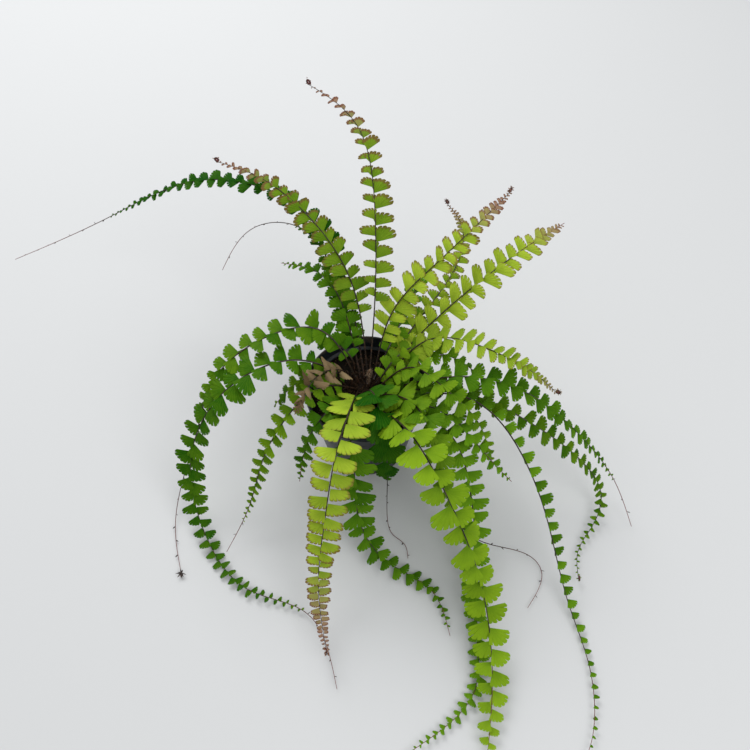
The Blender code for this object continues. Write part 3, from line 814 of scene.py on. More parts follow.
# %% [markdown]
# ## Finishes
#
# A material is a small graph of nodes. The helpers below start one and add nodes to it, so that
# each finish reads as a short list: what it measures on the surface, the colours it mixes, and
# what it gives the shader.

# %% Helpers for materials
def new_finish(name, roughness, specular=0.5):
    """A material, its tree of nodes and its shader, with these two values set on the shader."""
    finish = bpy.data.materials.new(name)
    finish.use_nodes = True
    shader = finish.node_tree.nodes["Principled BSDF"]
    shader.inputs["Roughness"].default_value = roughness
    shader.inputs["Specular IOR Level"].default_value = specular
    return finish, finish.node_tree, shader


def node(tree, kind, inputs=(), **settings):
    """Adds a node with these settings. An input is a value, or another node's output."""
    made = tree.nodes.new("ShaderNode" + kind)
    for name, value in settings.items():
        setattr(made, name, value)
    for key, value in dict(inputs).items():
        if isinstance(value, bpy.types.NodeSocket):
            tree.links.new(value, made.inputs[key])
        else:
            made.inputs[key].default_value = value
    return made


print("helpers for the graph itself:", new_finish.__name__, "and", node.__name__)

# %% [markdown]
# Most of a graph is sums on numbers and blends of two colours, so these have short names.

# %% Sums, marks and blends
def sums(tree, operation, a, b=0.0, c=0.0):
    """The result of a Math node: MULTIPLY_ADD, for one, is a * b + c."""
    return node(tree, "Math", {0: a, 1: b, 2: c}, operation=operation).outputs[0]


def mark(tree, name):
    """The number that a shape's mark of this name gives each point."""
    return node(tree, "Attribute", attribute_name=name).outputs["Fac"]


def blend_colours(tree, share, first, second, blend_type="MIX"):
    """The first colour where the share is 0 and the second where it is 1, evenly between them."""
    made = node(tree, "Mix", data_type="RGBA", blend_type=blend_type)
    for key, value in ((0, share), (6, first), (7, second)):
        if isinstance(value, bpy.types.NodeSocket):
            tree.links.new(value, made.inputs[key])
        else:
            made.inputs[key].default_value = (*value, 1.0) if isinstance(value, tuple) else value
    return made.outputs[2]


print("helpers for its parts:", [f.__name__ for f in (sums, mark, blend_colours)])

# %% [markdown]
# A real surface is never one colour. Its differences come from three sources: a mark on the
# shape, a place on it, or noise, which has cloudy patches of a chosen size. A smooth step turns
# any of them into the share of one colour in another, and small heights turn them into bumps.

# %% Helpers that vary a finish over the surface
def share_between(tree, value, low, high):
    """0 at low, 1 at high, and 3 * t^2 - 2 * t^3 between them, with t the way from low to high."""
    made = node(tree, "MapRange", {"Value": value, "From Min": low, "From Max": high},
                interpolation_type="SMOOTHSTEP")
    return made.outputs["Result"]


def noise(tree, scale, detail=3.0, where=None, **more):
    """Cloudy noise in the piece's own coordinates. The scale is in patches to a metre."""
    where = where or node(tree, "TexCoord").outputs["Object"]
    return node(tree, "TexNoise", {"Vector": where, "Scale": scale, "Detail": detail, **more}
                ).outputs["Fac"]


def raise_bumps(tree, shader, height, distance, strength=1.0):
    """Tilts the shading as if the surface rose by height * distance, in metres."""
    bump = node(tree, "Bump", {"Height": height, "Distance": distance, "Strength": strength})
    tree.links.new(bump.outputs["Normal"], shader.inputs["Normal"])


print("helpers for variation:", [f.__name__ for f in (share_between, noise, raise_bumps)])

# %% [markdown]
# ## Leaves
#
# Veins spread like a fan from the leaflet's foot and fork halfway. They could be drawn in the
# flat map, but they are lines of equal angle, so they are worked out from the leaflet's own out
# and up.

# %% Veins
VEINS = 11.0


def vein_lines(tree, reach):
    """Thin lines where |sin(veins * angle)| is near 0, with twice as many past the fork. The angle
    is that of (out, up) as seen from the foot."""
    angle = sums(tree, "ARCTAN2", mark(tree, "up"), mark(tree, "out"))
    near, far = (share_between(tree, sums(tree, "ABSOLUTE", sums(tree, "SINE", sums(
        tree, "MULTIPLY", angle, count))), 0.3, 0.0) for count in (VEINS, 2 * VEINS))
    forked = share_between(tree, reach, 0.4, 0.55)
    return sums(tree, "MULTIPLY_ADD", forked, sums(tree, "SUBTRACT", far, near), near)


print("a leaflet shows about", round(VEINS * INNER_EDGE / 180), "veins near its foot")

# %% [markdown]
# A living leaflet is thin enough to glow when light comes from behind it, so its shader is mixed
# with a translucent one. Its green is painted deeper near the foot, as shade at its base, and
# differs from leaflet to leaflet. A young leaflet is yellow green with a brown edge that widens
# with its place along the frond, and the youngest, near the rolled tip, are pinkish brown all over.

# %% The leaf's finish
GLOW_SHARE = 0.36
GLOW_TINT = (1.0, 1.0, 0.5)


def leaf_finish(name, deep, fresh, edge, edge_share, tip, tip_from):
    """The body's colour goes from deep to fresh by 0.9 * tone + 0.1 * cloud, back towards deep near
    the foot as painted shade, and towards tip where age + 0.12 * tone + 0.3 * rust passes tip_from.
    The edge's colour shows where reach + rust * (0.1 + 0.34 * age) + 0.16 * noise passes 1.03,
    which is just inside the rim, by edge_share * (0.5 + 0.5 * age)."""
    finish, tree, shader = new_finish(name, roughness=0.5, specular=0.06)
    age, tone, reach = (mark(tree, m) for m in ("age", "tone", "reach"))
    cloud = share_between(tree, noise(tree, 260), 0.3, 0.7)
    body = blend_colours(tree, sums(tree, "MULTIPLY_ADD", tone, 0.9, sums(
        tree, "MULTIPLY", cloud, 0.1)), deep, fresh)
    # Painted shade: the green is drawn back towards deep near each leaflet's foot.
    painted_shade_at_foot = sums(tree, "MULTIPLY", share_between(tree, reach, 0.8, 0.0), 0.4)
    body = blend_colours(tree, painted_shade_at_foot, body, deep)
    veins = vein_lines(tree, reach)
    body = blend_colours(tree, sums(tree, "MULTIPLY", veins, 0.18), body,
                         tuple(min(1.0, 1.4 * c + 0.02) for c in fresh))
    youth = sums(tree, "MULTIPLY_ADD", mark(tree, "rust"), 0.3, sums(
        tree, "MULTIPLY_ADD", tone, 0.12, age))
    body = blend_colours(tree, share_between(tree, youth, tip_from, tip_from + 0.3), body, tip)
    rust = sums(tree, "MULTIPLY", mark(tree, "rust"), sums(tree, "MULTIPLY_ADD", age, 0.34, 0.1))
    rusty = sums(tree, "ADD", rust, reach)
    ragged = sums(tree, "MULTIPLY_ADD", noise(tree, 420), 0.16, rusty)
    at_edge = share_between(tree, ragged, 1.03, 1.19)
    strength = sums(tree, "MULTIPLY", sums(tree, "MULTIPLY_ADD", age, 0.5, 0.5), edge_share)
    colour = blend_colours(tree, sums(tree, "MULTIPLY", at_edge, strength), body, edge)
    tree.links.new(colour, shader.inputs["Base Color"])
    relief = sums(tree, "MULTIPLY_ADD", veins, -0.6, noise(tree, 900, 2.0))
    raise_bumps(tree, shader, relief, 0.00025, 0.5)
    glow = node(tree, "BsdfTranslucent", {"Color": blend_colours(
        tree, 1.0, colour, GLOW_TINT, "MULTIPLY")})
    both = node(tree, "MixShader", {0: GLOW_SHARE, 1: shader.outputs[0], 2: glow.outputs[0]})
    tree.links.new(both.outputs[0], tree.nodes["Material Output"].inputs["Surface"])
    return finish

# %% [markdown]
# A fern has four kinds of leaf at once: yellow green young fronds with brown edges, fresh green
# grown ones, dark old ones, and a dead one the colour of straw. The dark finish also paints shade
# on fronds that lie in the plant's shadow.

# %% Four leaf finishes
LEAF_FINISHES = {
    "young": leaf_finish("young_leaf", deep=(0.12, 0.26, 0.007), fresh=(0.48, 0.62, 0.045),
                         edge=(0.22, 0.08, 0.045), edge_share=0.9,
                         tip=(0.40, 0.25, 0.17), tip_from=0.93),
    "green": leaf_finish("green_leaf", deep=(0.012, 0.11, 0.0006), fresh=(0.30, 0.49, 0.016),
                         edge=(0.34, 0.46, 0.03), edge_share=0.4,
                         tip=(0.34, 0.50, 0.03), tip_from=0.9),
    # The dark finish is the old fronds' own deep green, and also painted shade on fronds in shadow.
    "dark": leaf_finish("old_and_shaded_leaf", deep=(0.003, 0.085, 0.0003), fresh=(0.18, 0.38, 0.010),
                        edge=(0.14, 0.30, 0.010), edge_share=0.3,
                        tip=(0.16, 0.34, 0.012), tip_from=0.9),
    "dry": leaf_finish("dry_leaf", deep=(0.13, 0.085, 0.04), fresh=(0.38, 0.28, 0.15),
                       edge=(0.07, 0.035, 0.02), edge_share=0.8,
                       tip=(0.24, 0.16, 0.09), tip_from=0.7),
}
print("leaf finishes:", [finish.name for finish in LEAF_FINISHES.values()])

# %% [markdown]
# The stalks of this fern are nearly black and polished, like wire, with faint streaks. Towards
# the tip, where they are youngest, they are wine red.

# %% The stalks' finish
def stalk_finish():
    """Black to brown by streaky noise, then towards wine red as age goes from 0.7 to 0.95."""
    finish, tree, shader = new_finish("wiry_stalk", roughness=0.35, specular=0.35)
    streak = noise(tree, 700, 3.0)
    colour = blend_colours(tree, share_between(tree, streak, 0.4, 0.75),
                           (0.012, 0.007, 0.005), (0.06, 0.028, 0.014))
    colour = blend_colours(tree, share_between(tree, mark(tree, "age"), 0.7, 0.95), colour,
                           (0.15, 0.035, 0.03))
    tree.links.new(colour, shader.inputs["Base Color"])
    raise_bumps(tree, shader, streak, 0.00015, 0.4)
    return finish


STALK_FINISH = stalk_finish()
print("stalks:", STALK_FINISH.name)

# %% [markdown]
# ## Growing the fronds
#
# Each frond is one piece, as it grows: its leaflets and its stalk in one mesh, with a finish for
# each. It draws its small differences from its own seeded chance, so it grows the same way each
# time, and a change to one frond leaves the others alone.

# %% Every frond
leaflets_made = 0
stalks = {}
for index, frond in enumerate(FRONDS):
    chance = np.random.default_rng(100 + index)
    stalk = Stalk([root_point(index), *frond.route], frond.crozier)
    stalks[frond.name] = stalk
    shapes = make_leaflets(frond, stalk, chance)
    leaflets_made += sum(len(shape.points) for shape in shapes) // SHELL_POINTS
    place_piece(frond.name.replace("frond_", "grown_"), [*shapes, make_stalk(frond, stalk)],
                [LEAF_FINISHES[frond.look], STALK_FINISH], frond.name)
print("fronds:", len(FRONDS), "with", leaflets_made, "leaflets")

# %% [markdown]
# ## Slivers: scales, hairs and crumbs
#
# The crown wears narrow brown scales, the youngest frond is woolly with hairs, and the peat is
# full of crumbs and fibres. Each of these is a small closed skin round two or three rings, made
# hundreds at a time. Only its proportions differ: a hair is long and thin, and a crumb is as
# broad as long.

# %% Making slivers
SCALE_GIRTH = ((0.12, 0.8), (0.4, 1.0), (0.8, 0.4))
HAIR_GIRTH = ((0.02, 1.0), (0.5, 0.8))
CRUMB_GIRTH = ((0.2, 0.8), (0.5, 1.0), (0.85, 0.6))


def slivers(feet, along, lengths, widths, girth, flatness=1.0, droop=0.0, sides=4, finish=0,
            tone=None):
    """A ring lies at foot + share * length * along, less droop * length * share^2 in height. Its
    radius is width * girth, in a direction across, and flatness times that in the other. The girth
    is a row of (share, girth), one for each ring."""
    along = unit(along)
    across = unit(np.cross(along, (0.31, 0.17, 0.93)))
    other = np.cross(along, across)
    around = np.arange(sides) * 2 * pi / sides
    share, radius = np.array(girth).T
    circle = (np.cos(around)[:, None] * across[:, None]
              + flatness * np.sin(around)[:, None] * other[:, None])
    bend = -np.array([0.0, 0.0, 1.0]) * droop

    def middle(part):
        """The middle of the ring at this share of the length."""
        return feet + lengths[:, None] * (along * part + bend * part**2)

    middles = np.stack([middle(part) for part in share], axis=1)
    rings = middles[:, :, None] + (widths[:, None] * radius)[:, :, None, None] * circle[:, None]
    return closed_rings(feet, rings, middle(1.0), finish,
                        {"tone": tone if tone is not None else np.full(len(feet), 0.5)})


print("rings in a scale, a hair and a crumb:", len(SCALE_GIRTH), len(HAIR_GIRTH),
      len(CRUMB_GIRTH))

# %% [markdown]
# Slivers and lumps are scattered by chance. Peat and wood have lumps of many sizes with no
# pattern, and a sum of sine waves gives that without a table.

# %% Scattering, and lumps
def spread_round(count, radius, chance):
    """Places (x, y) spread evenly over a disc: the radius is the root of an even chance."""
    turn = chance.uniform(0, 2 * pi, count)
    away = radius * np.sqrt(chance.uniform(0, 1, count))
    return away * np.cos(turn), away * np.sin(turn)


def lumpy(points, size, chance, waves=40):
    """Lumps about size across, from about -1 to 1: the sum of many sine waves that run in random
    directions, sin(point . run + phase), divided by twice the root of half their number."""
    run = unit(chance.normal(0, 1, (waves, 3))) * 2 * pi / size
    run *= chance.uniform(0.6, 1.6, waves)[:, None]
    phase = chance.uniform(0, 2 * pi, waves)
    return np.sin(points @ run.T + phase).sum(axis=-1) / np.sqrt(waves / 2) / 2


def any_way(count, steepness):
    """Directions spread evenly round the upright axis, with heights by chance round level."""
    turn = chance.uniform(0, 2 * pi, count)
    return np.stack([np.cos(turn), np.sin(turn), chance.normal(0, steepness, count)], axis=1)


chance = np.random.default_rng(7)
print("the pot, the peat and the crown share one seeded chance")

# %% [markdown]
# ## The pot
#
# The pot is a thin moulded one with a tapered wall, a stepped band under its rounded lip, a foot
# ring and six drain holes. It could be lathed with a Screw modifier. Here a profile is turned
# round the upright axis on a grid, because every part of it but the holes is round.

# %% Turning a profile
POT_STEPS = 96


def turned(profile, steps, finish=0):
    """A closed skin from a profile in mm whose two ends lie on the axis. Its point (radius,
    height) becomes a ring of (radius * cos(a), radius * sin(a), height), in metres."""
    turn = np.arange(steps) * 2 * pi / steps
    radius, height = np.array(profile[1:-1]).T[:, :, None] * MM
    rings = np.stack([radius * np.cos(turn), radius * np.sin(turn), height + 0 * turn], axis=-1)
    foot, tip = (np.array([[0.0, 0.0, end[1] * MM]]) for end in (profile[0], profile[-1]))
    return closed_rings(foot, rings[None], tip, finish)


print("a turned cone of one ring:", len(turned([(0, 0), (1, 0), (0, 1)], 12).points), "points")

# %% [markdown]
# The pot's sizes are those of a common nursery pot 7 cm across. Two helpers give its profile: the
# radius of the tapered wall, and the small arcs at its corners, because moulded plastic has no
# sharp edge.

# %% The pot's sizes
POT_HEIGHT = 62.0
BASE_RADIUS = 25.0
BASE_THICKNESS = 1.6
RIM_RADIUS = 35.0
BAND_STEP = 2.2
WALL = 1.2
UNDER_BAND = 52.5
DRAIN_HOLES = 6
HOLE_RING = 15.0
HOLE_RADIUS = 3.2


def wall_radius(height):
    """The outer radius under the band, in mm: it grows evenly from the base's radius to the rim's,
    less the band's step."""
    return BASE_RADIUS + (RIM_RADIUS - BAND_STEP - BASE_RADIUS) * height / UNDER_BAND


def bend_round(middle, radius, start, end, steps=5):
    """Profile points middle + radius * (cos(a), sin(a)), with angles in degrees from outwards."""
    angle = np.radians(np.linspace(start, end, steps))
    return [(middle[0] + radius * cos(a), middle[1] + radius * sin(a)) for a in angle]


print("the wall's outer radius:", wall_radius(0), "mm at the base and",
      round(wall_radius(UNDER_BAND), 1), "mm under the band")

# %% [markdown]
# The profile runs from the middle of the base outwards, up the outer side, over the lip and down
# the inner side. The drain holes are six upright rods that stand in a ring through the base, and
# their space is cut out of the pot.

# %% The pot's profile, and its holes
pot_profile = [
    (0, 0.5),
    (21.0, 0.5),
    (21.4, 0.0),
    *bend_round((BASE_RADIUS - 0.8, 0.8), 0.8, -90, 0),
    (wall_radius(UNDER_BAND), UNDER_BAND - 0.3),
    *bend_round((RIM_RADIUS - 1.3, UNDER_BAND + 0.6), 0.5, -90, 0),
    (RIM_RADIUS - 0.25, POT_HEIGHT - 2.6),
    *bend_round((RIM_RADIUS - 0.5, POT_HEIGHT - 2.1), 0.5, -45, 45),
    *bend_round((RIM_RADIUS - 0.8, POT_HEIGHT - 0.6), 0.6, 20, 160, 8),
    (RIM_RADIUS - 0.8 - WALL, UNDER_BAND + 1.2),
    (wall_radius(UNDER_BAND) - WALL, UNDER_BAND),
    (wall_radius(BASE_THICKNESS) - WALL, BASE_THICKNESS),
    (0, BASE_THICKNESS),
]
hole_turn = np.arange(DRAIN_HOLES) * 2 * pi / DRAIN_HOLES
hole_feet = HOLE_RING * MM * np.stack([np.cos(hole_turn), np.sin(hole_turn), 0 * hole_turn], axis=1)
drain_rods = slivers(hole_feet - (0, 0, 4 * MM), np.tile([0.0, 0, 1], (DRAIN_HOLES, 1)),
                     np.full(DRAIN_HOLES, 8 * MM), np.full(DRAIN_HOLES, HOLE_RADIUS * MM),
                     ((0.001, 1.0), (0.999, 1.0)), sides=32)
print("pot:", len(pot_profile), "points in its profile,", DRAIN_HOLES, "drain holes")

# %% [markdown]
# The plastic is dark slate with a faint sheen. Damp peat has dried on it in smudges, most of them
# on the lip and near the base.

# %% The plastic
def pot_plastic():
    """Slate, with brown smudges where cloud + 0.16 * (near the lip + near the base) passes 0.62.
    The roughness is 0.33 + 0.15 * cloud, and 0.4 more on a smudge."""
    finish, tree, shader = new_finish("slate_plastic", roughness=0.4, specular=0.3)
    where = node(tree, "TexCoord").outputs["Object"]
    height = node(tree, "SeparateXYZ", {0: where}).outputs["Z"]
    cloud = noise(tree, 90, 5.0)
    near_lip = share_between(tree, height, 0.052, 0.064)
    near_base = share_between(tree, height, 0.016, 0.0)
    often = sums(tree, "MULTIPLY", sums(tree, "ADD", near_lip, near_base), 0.16)
    smudge = share_between(tree, sums(tree, "ADD", cloud, often), 0.62, 0.74)
    colour = blend_colours(tree, smudge, (0.014, 0.019, 0.022), (0.052, 0.040, 0.030))
    tree.links.new(colour, shader.inputs["Base Color"])
    rough = sums(tree, "MULTIPLY_ADD", smudge, 0.4, sums(tree, "MULTIPLY_ADD", cloud, 0.15, 0.33))
    tree.links.new(rough, shader.inputs["Roughness"])
    raise_bumps(tree, shader, noise(tree, 1200, 2.0), 0.0001, 0.35)
    return finish


pot = place_piece("moulded_pot", [turned(pot_profile, POT_STEPS)], [pot_plastic()],
                  "nursery_pot", crease=35, holes=[drain_rods])
print("pot:", len(pot.data.polygons), "faces")

# %% [markdown]
# ## The peat
#
# Damp potting peat is dark, and here it is nearly black, partly as painted shade under the
# fronds. Its skin is turned like the pot's, and then its top, but not its hidden side, is raised
# and sunk by lumps of two sizes. A Displace modifier with a clouds texture would do it too, but
# these lumps stay in the same arrays as the rest.

# %% The peat's surface
PEAT_EDGE = 31.2
PEAT_TOP_FROM = 51.5


def peat_height(radius):
    """In mm: 52.4 at the wall, rising by 1.6 over the outer 11 mm, and a bell curve 2.2 high and
    13 wide in the middle, round the crown."""
    return 52.4 + 1.6 * np.clip((PEAT_EDGE - radius) / 11, 0, 1) + 2.2 * np.exp(-(radius / 13)**2)


peat_radii = np.linspace(PEAT_EDGE, 0.6, 56)
peat_profile = [(0, 2.0), (wall_radius(2) - WALL - 0.4, 2.0),
                *zip(peat_radii, peat_height(peat_radii)), (0, peat_height(0))]
peat_skin = turned(peat_profile, POT_STEPS)
top = np.clip(peat_skin.points[:, 2] / MM - PEAT_TOP_FROM, 0, 1)
peat_skin.points[:, 2] += top * MM * (0.55 * lumpy(peat_skin.points, 5 * MM, chance)
                                      + 0.3 * lumpy(peat_skin.points, 2 * MM, chance))
print("peat:", round(float(peat_skin.points[:, 2].max()) / MM, 1), "mm above the base")

# %% [markdown]
# Up close, peat is crumbs and fibres. The crumbs are short thick slivers that lie any way round,
# and the fibres are long thin ones that droop a little, nearly level.

# %% Crumbs and fibres
CRUMBS = 700
FIBRES = 140


def on_peat(count, radius, sunk):
    """Places on the peat's mound, less sunk, within a radius. All are in mm but the result."""
    x, y = spread_round(count, radius * MM, chance)
    height = peat_height(np.hypot(x, y) / MM) - sunk
    return np.stack([x, y, height * MM], axis=1)


crumbs = slivers(on_peat(CRUMBS, 30.0, 0.3), any_way(CRUMBS, 0.4),
                 chance.uniform(0.7, 2.4, CRUMBS) * MM, chance.uniform(0.3, 0.9, CRUMBS) * MM,
                 CRUMB_GIRTH, 0.75, sides=5, finish=1, tone=chance.uniform(0, 1, CRUMBS))
fibres = slivers(on_peat(FIBRES, 28.0, -0.1), any_way(FIBRES, 0.12),
                 chance.uniform(3, 8, FIBRES) * MM, chance.uniform(0.08, 0.2, FIBRES) * MM,
                 SCALE_GIRTH, droop=0.1, finish=1, tone=chance.uniform(0.5, 1, FIBRES))
print("peat:", CRUMBS, "crumbs and", FIBRES, "fibres")

# %% [markdown]
# Peat, bark and wool are all matt browns that differ in depth and in the size of their grain, so
# one helper makes them. The ground is nearly black, partly as painted shade under the fronds, and
# the crumbs on it are a warmer brown.

# %% The peat's finishes
def rough_brown(name, deep, pale, scale, bump=0.0006):
    """Matt brown. The share of the pale colour is half of cloudy noise + the sliver's tone."""
    finish, tree, shader = new_finish(name, roughness=0.92, specular=0.08)
    cloud = share_between(tree, noise(tree, scale, 5.0), 0.35, 0.75)
    share = sums(tree, "MULTIPLY", sums(tree, "ADD", cloud, mark(tree, "tone")), 0.5)
    tree.links.new(blend_colours(tree, share, deep, pale), shader.inputs["Base Color"])
    raise_bumps(tree, shader, noise(tree, scale * 2, 4.0), bump, 0.8)
    return finish


# The ground's near-black is the peat's own dark colour, and partly painted shade under the fronds.
peat = place_piece("peat_with_painted_shade", [peat_skin, crumbs, fibres],
                   [rough_brown("peat", (0.004, 0.003, 0.002), (0.020, 0.014, 0.009), 500),
                    rough_brown("crumbs", (0.008, 0.005, 0.003), (0.085, 0.052, 0.030), 900,
                                0.0002)],
                   "peat")
print("peat:", len(peat.data.polygons), "faces")

# %% [markdown]
# ## The crown
#
# The stalks grow from a woody rhizome, a low clump covered with narrow brown scales and the black
# stubs of old stalks. The clump starts as a half circle turned like the pot, which gives a ball
# of radius 1. It is stretched to the crown's three radii, and lumps push it in and out.

# %% The woody clump
half_circle = np.radians(np.linspace(-90, 90, 26))
clump = turned([(cos(a), sin(a)) for a in half_circle], 48)
clump.points *= CROWN_RADII / MM
outward = unit(clump.points / CROWN_RADII**2)
clump.points += outward * (0.5 * MM * lumpy(clump.points, 4 * MM, chance))[:, None] + CROWN_MIDDLE
print("clump:", len(clump.points), "points")

# %% [markdown]
# The scales lie close on the clump and point outwards, like short fur, and the stubs are cut off
# square. Both are slivers whose feet are just under the clump's surface.

# %% Scales and stubs
SCALES = 420
STUBS = 26
STUB_GIRTH = ((0.01, 1.2), (0.5, 1.0), (0.97, 0.85))


def on_crown(count, reach=0.98):
    """Places on the crown's upper half, and the directions out of it: from its middle, with each
    coordinate divided by that radius squared."""
    x, y = spread_round(count, reach, chance)
    x, y = x * CROWN_RADII[0], y * CROWN_RADII[1]
    place = np.stack([x, y, crown_height(x, y) - 0.2 * MM], axis=1)
    return place, unit((place - CROWN_MIDDLE) / CROWN_RADII**2)


scale_feet, scale_out = on_crown(SCALES)
scales = slivers(scale_feet, scale_out + any_way(SCALES, 0.2) * 0.9,
                 chance.uniform(1.2, 3.6, SCALES) * MM, chance.uniform(0.12, 0.3, SCALES) * MM,
                 SCALE_GIRTH, 0.35, 0.15, finish=1, tone=chance.uniform(0, 1, SCALES))
stub_feet, stub_out = on_crown(STUBS, 0.9)
stubs = slivers(stub_feet, stub_out + any_way(STUBS, 0.2) * 0.5,
                chance.uniform(3, 9, STUBS) * MM, chance.uniform(0.35, 0.6, STUBS) * MM,
                STUB_GIRTH, sides=6, finish=2)
# The rhizome's near-black is its own dark colour, and partly painted shade under the fronds.
place_piece("woody_crown", [clump, scales, stubs],
            [rough_brown("rhizome", (0.006, 0.004, 0.003), (0.022, 0.013, 0.008), 600),
             rough_brown("scales", (0.012, 0.007, 0.004), (0.075, 0.042, 0.022), 900, 0.0001),
             STALK_FINISH], "crown")
print("crown:", SCALES, "scales and", STUBS, "stubs")

# %% [markdown]
# ## What is left on the bare tails
#
# Where a long frond's tail is bare, some of its leaflets have withered to dark crumpled stubs, a
# millimetre or two long. They stand by turns on the two sides of the tail.

# %% Withered stubs
BARE_FROM = 0.92
STUB_PITCH = 9.0


def withered(frond, stalk):
    """Stubs every STUB_PITCH, each moved on by chance, from the blade's end nearly to the tip. Each
    points across * side + along * a chance of 0.2 to 1.2 + 0.3 * away."""
    bare = np.arange(frond.blade[1] * stalk.length, 0.97 * stalk.length, STUB_PITCH * MM)
    bare = bare + chance.uniform(0, 0.6 * STUB_PITCH, len(bare)) * MM
    point, along, across, away = stalk.at(bare)
    side = np.where(np.arange(len(bare)) % 2, 1.0, -1.0)[:, None]
    ways = across * side + along * chance.uniform(0.2, 1.2, (len(bare), 1)) + away * 0.3
    stub = slivers(point, ways, chance.uniform(0.8, 2.2, len(bare)) * MM,
                   chance.uniform(0.18, 0.4, len(bare)) * MM, CRUMB_GIRTH, 0.5, 0.1)
    stub.points = above_floor(stub.points)
    return stub


tails = [withered(frond, stalks[frond.name]) for frond in FRONDS if frond.blade[1] < BARE_FROM]
place_piece("withered_stubs", tails, [STALK_FINISH])
print("bare tails:", len(tails))

# %% [markdown]
# ## The fiddlehead
#
# The youngest frond is still a rolled knob, grey brown with wool. It is a stalk like the others,
# but short and thick, with a spiral end, and hairs stand out of it all round. Blender's hair
# would look finer, but it isn't part of a mesh, so each hair is a sliver.

# %% The woolly fiddlehead
FIDDLEHEAD_ROUTE = ((2, 3, 68), (4, 6, 72))
HAIRS = 520
HAIR_RADIUS = 0.05 * MM
foot = (1, 1, crown_height(MM, MM) / MM + ROOT_LIFT - 2.0)
young = Stalk([foot, *FIDDLEHEAD_ROUTE], crozier=2.1, turns=1.6)
steps = np.linspace(0, young.length, 60)
point, along, across, away = young.at(steps)
thick = np.interp(steps / young.length, (0, 0.2, 0.6, 1), (1.1, 0.75, 0.8, 0.6)) * MM
stem = tube(point, across, away, thick, sides=10, finish=0)
stem.flat = []
hair_at = chance.uniform(0.1, 1, HAIRS) * young.length
point, along, across, away = young.at(hair_at)
turn = chance.uniform(0, 2 * pi, HAIRS)[:, None]
hair_out = np.cos(turn) * across + np.sin(turn) * away + 0.5 * along
hairs = slivers(point, hair_out, chance.uniform(1.0, 2.1, HAIRS) * MM,
                np.full(HAIRS, HAIR_RADIUS), HAIR_GIRTH, sides=3, finish=1,
                tone=chance.uniform(0, 1, HAIRS))
place_piece("woolly_fiddlehead", [stem, hairs],
            [rough_brown("fiddlehead", (0.06, 0.035, 0.02), (0.20, 0.13, 0.08), 700),
             rough_brown("wool", (0.16, 0.11, 0.07), (0.42, 0.33, 0.25), 900, 0.0001)],
            "fiddlehead")
print("fiddlehead:", HAIRS, "hairs")

# %% [markdown]
# Some of these ferns root at the tips of their fronds. At the end of the upper left frond a small
# dark plantlet has begun to grow: a star of short leaves that all start at the tip.

# %% The plantlet at the tip of the upper left frond
STAR_LEAVES = 9
for frond in FRONDS:
    if frond.bud:
        tip, tip_along = stalks[frond.name].line[-1], stalks[frond.name].along[-1]
        ways = any_way(STAR_LEAVES, 0.25) + tip_along * 0.4
        star = slivers(np.tile(tip, (STAR_LEAVES, 1)), ways,
                       chance.uniform(2.2, 3.6, STAR_LEAVES) * MM,
                       np.full(STAR_LEAVES, 0.45 * MM), SCALE_GIRTH, 0.4, 0.1)
        star.points = above_floor(star.points)
        place_piece("plantlet", [star], [STALK_FINISH])
        print("plantlet:", STAR_LEAVES, "leaves on", frond.name)

# %% [markdown]
# ## Floor, light and camera
#
# The floor is only there to catch the plant's shadow, so it is one large flat square, pale and
# matt.

# %% A pale floor
FLOOR_COLOUR = (0.57, 0.578, 0.58, 1.0)
FLOOR_HALF = 3.0


def pale_floor():
    """A square from -FLOOR_HALF to FLOOR_HALF both ways, at height 0."""
    finish, tree, shader = new_finish("pale_floor", roughness=0.9, specular=0.1)
    shader.inputs["Base Color"].default_value = FLOOR_COLOUR
    half = FLOOR_HALF
    mesh = bpy.data.meshes.new("floor")
    mesh.from_pydata([(-half, -half, 0), (half, -half, 0), (half, half, 0), (-half, half, 0)],
                     [], [(0, 1, 2, 3)])
    mesh.materials.append(finish)
    floor = bpy.data.objects.new("floor", mesh)
    bpy.context.scene.collection.objects.link(floor)


pale_floor()
print("floor:", 2 * FLOOR_HALF, "m across")

# %% [markdown]
# Most of the light comes from all round, as in a bright white room. A wide lamp behind and above
# makes the leaves glow, and a weaker one in front keeps the near ones from going dark. Wide lamps
# give soft shadows.

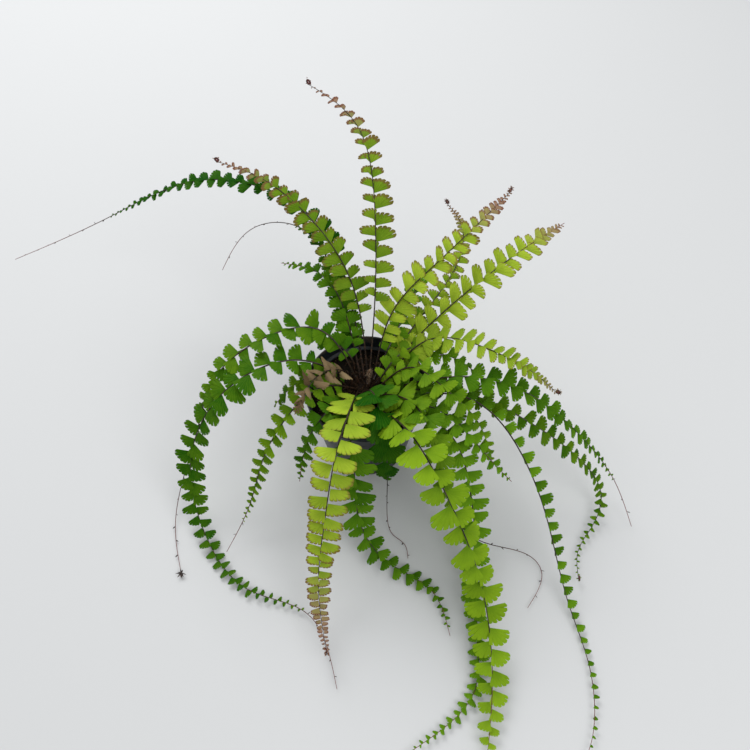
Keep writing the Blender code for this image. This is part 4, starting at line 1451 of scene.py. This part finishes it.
# %% Soft light from all round, and two wide lamps
def soft_lamp(name, place, aim, size, power):
    """A round lamp of this size in metres and power in watts, turned from its place to its aim."""
    lamp = bpy.data.lights.new(name, "AREA")
    lamp.shape = "DISK"
    lamp.size = size
    lamp.energy = power
    holder = bpy.data.objects.new(name, lamp)
    holder.location = place
    holder.rotation_euler = (Vector(aim) - Vector(place)).to_track_quat("-Z", "Y").to_euler()
    bpy.context.scene.collection.objects.link(holder)


world = bpy.data.worlds.new("studio")
world.use_nodes = True
room = world.node_tree.nodes["Background"]
room.inputs["Color"].default_value = (0.97, 0.98, 1.0, 1.0)
room.inputs["Strength"].default_value = 0.62
bpy.context.scene.world = world
LAMP_AIM = (0, 0, 0.05)
soft_lamp("window", (-0.35, 0.75, 0.95), LAMP_AIM, 0.9, 11.0)
soft_lamp("fill", (0.5, -0.6, 0.9), LAMP_AIM, 0.8, 5.0)
print("lamps:", len(bpy.data.lights))

# %% [markdown]
# The camera looks down steeply from half a metre, as someone does who holds the pot at arm's
# length. It aims at a point near the pot's rim, moved a little to the right and up in the
# picture, which centres the plant.

# %% The camera
LOOK_DOWN = radians(57)
CAMERA_DISTANCE = 0.5
AIM_HEIGHT = 0.063
AIM_RIGHT = 0.0051
AIM_UP = 0.0056
LENS_MM = 42.5
SENSOR_MM = 36
forward = Vector((0, cos(LOOK_DOWN), -sin(LOOK_DOWN)))
upward = Vector((0, sin(LOOK_DOWN), cos(LOOK_DOWN)))
aim = Vector((AIM_RIGHT, 0, AIM_HEIGHT)) + upward * AIM_UP
camera_data = bpy.data.cameras.new("camera")
camera_data.lens = LENS_MM
camera_data.sensor_width = SENSOR_MM
camera = bpy.data.objects.new("camera", camera_data)
camera.location = aim - forward * CAMERA_DISTANCE
camera.rotation_euler = forward.to_track_quat("-Z", "Y").to_euler()
bpy.context.scene.collection.objects.link(camera)
bpy.context.scene.camera = camera
bpy.context.scene.view_settings.view_transform = "Standard"
print("camera at", [round(c, 3) for c in camera.location])
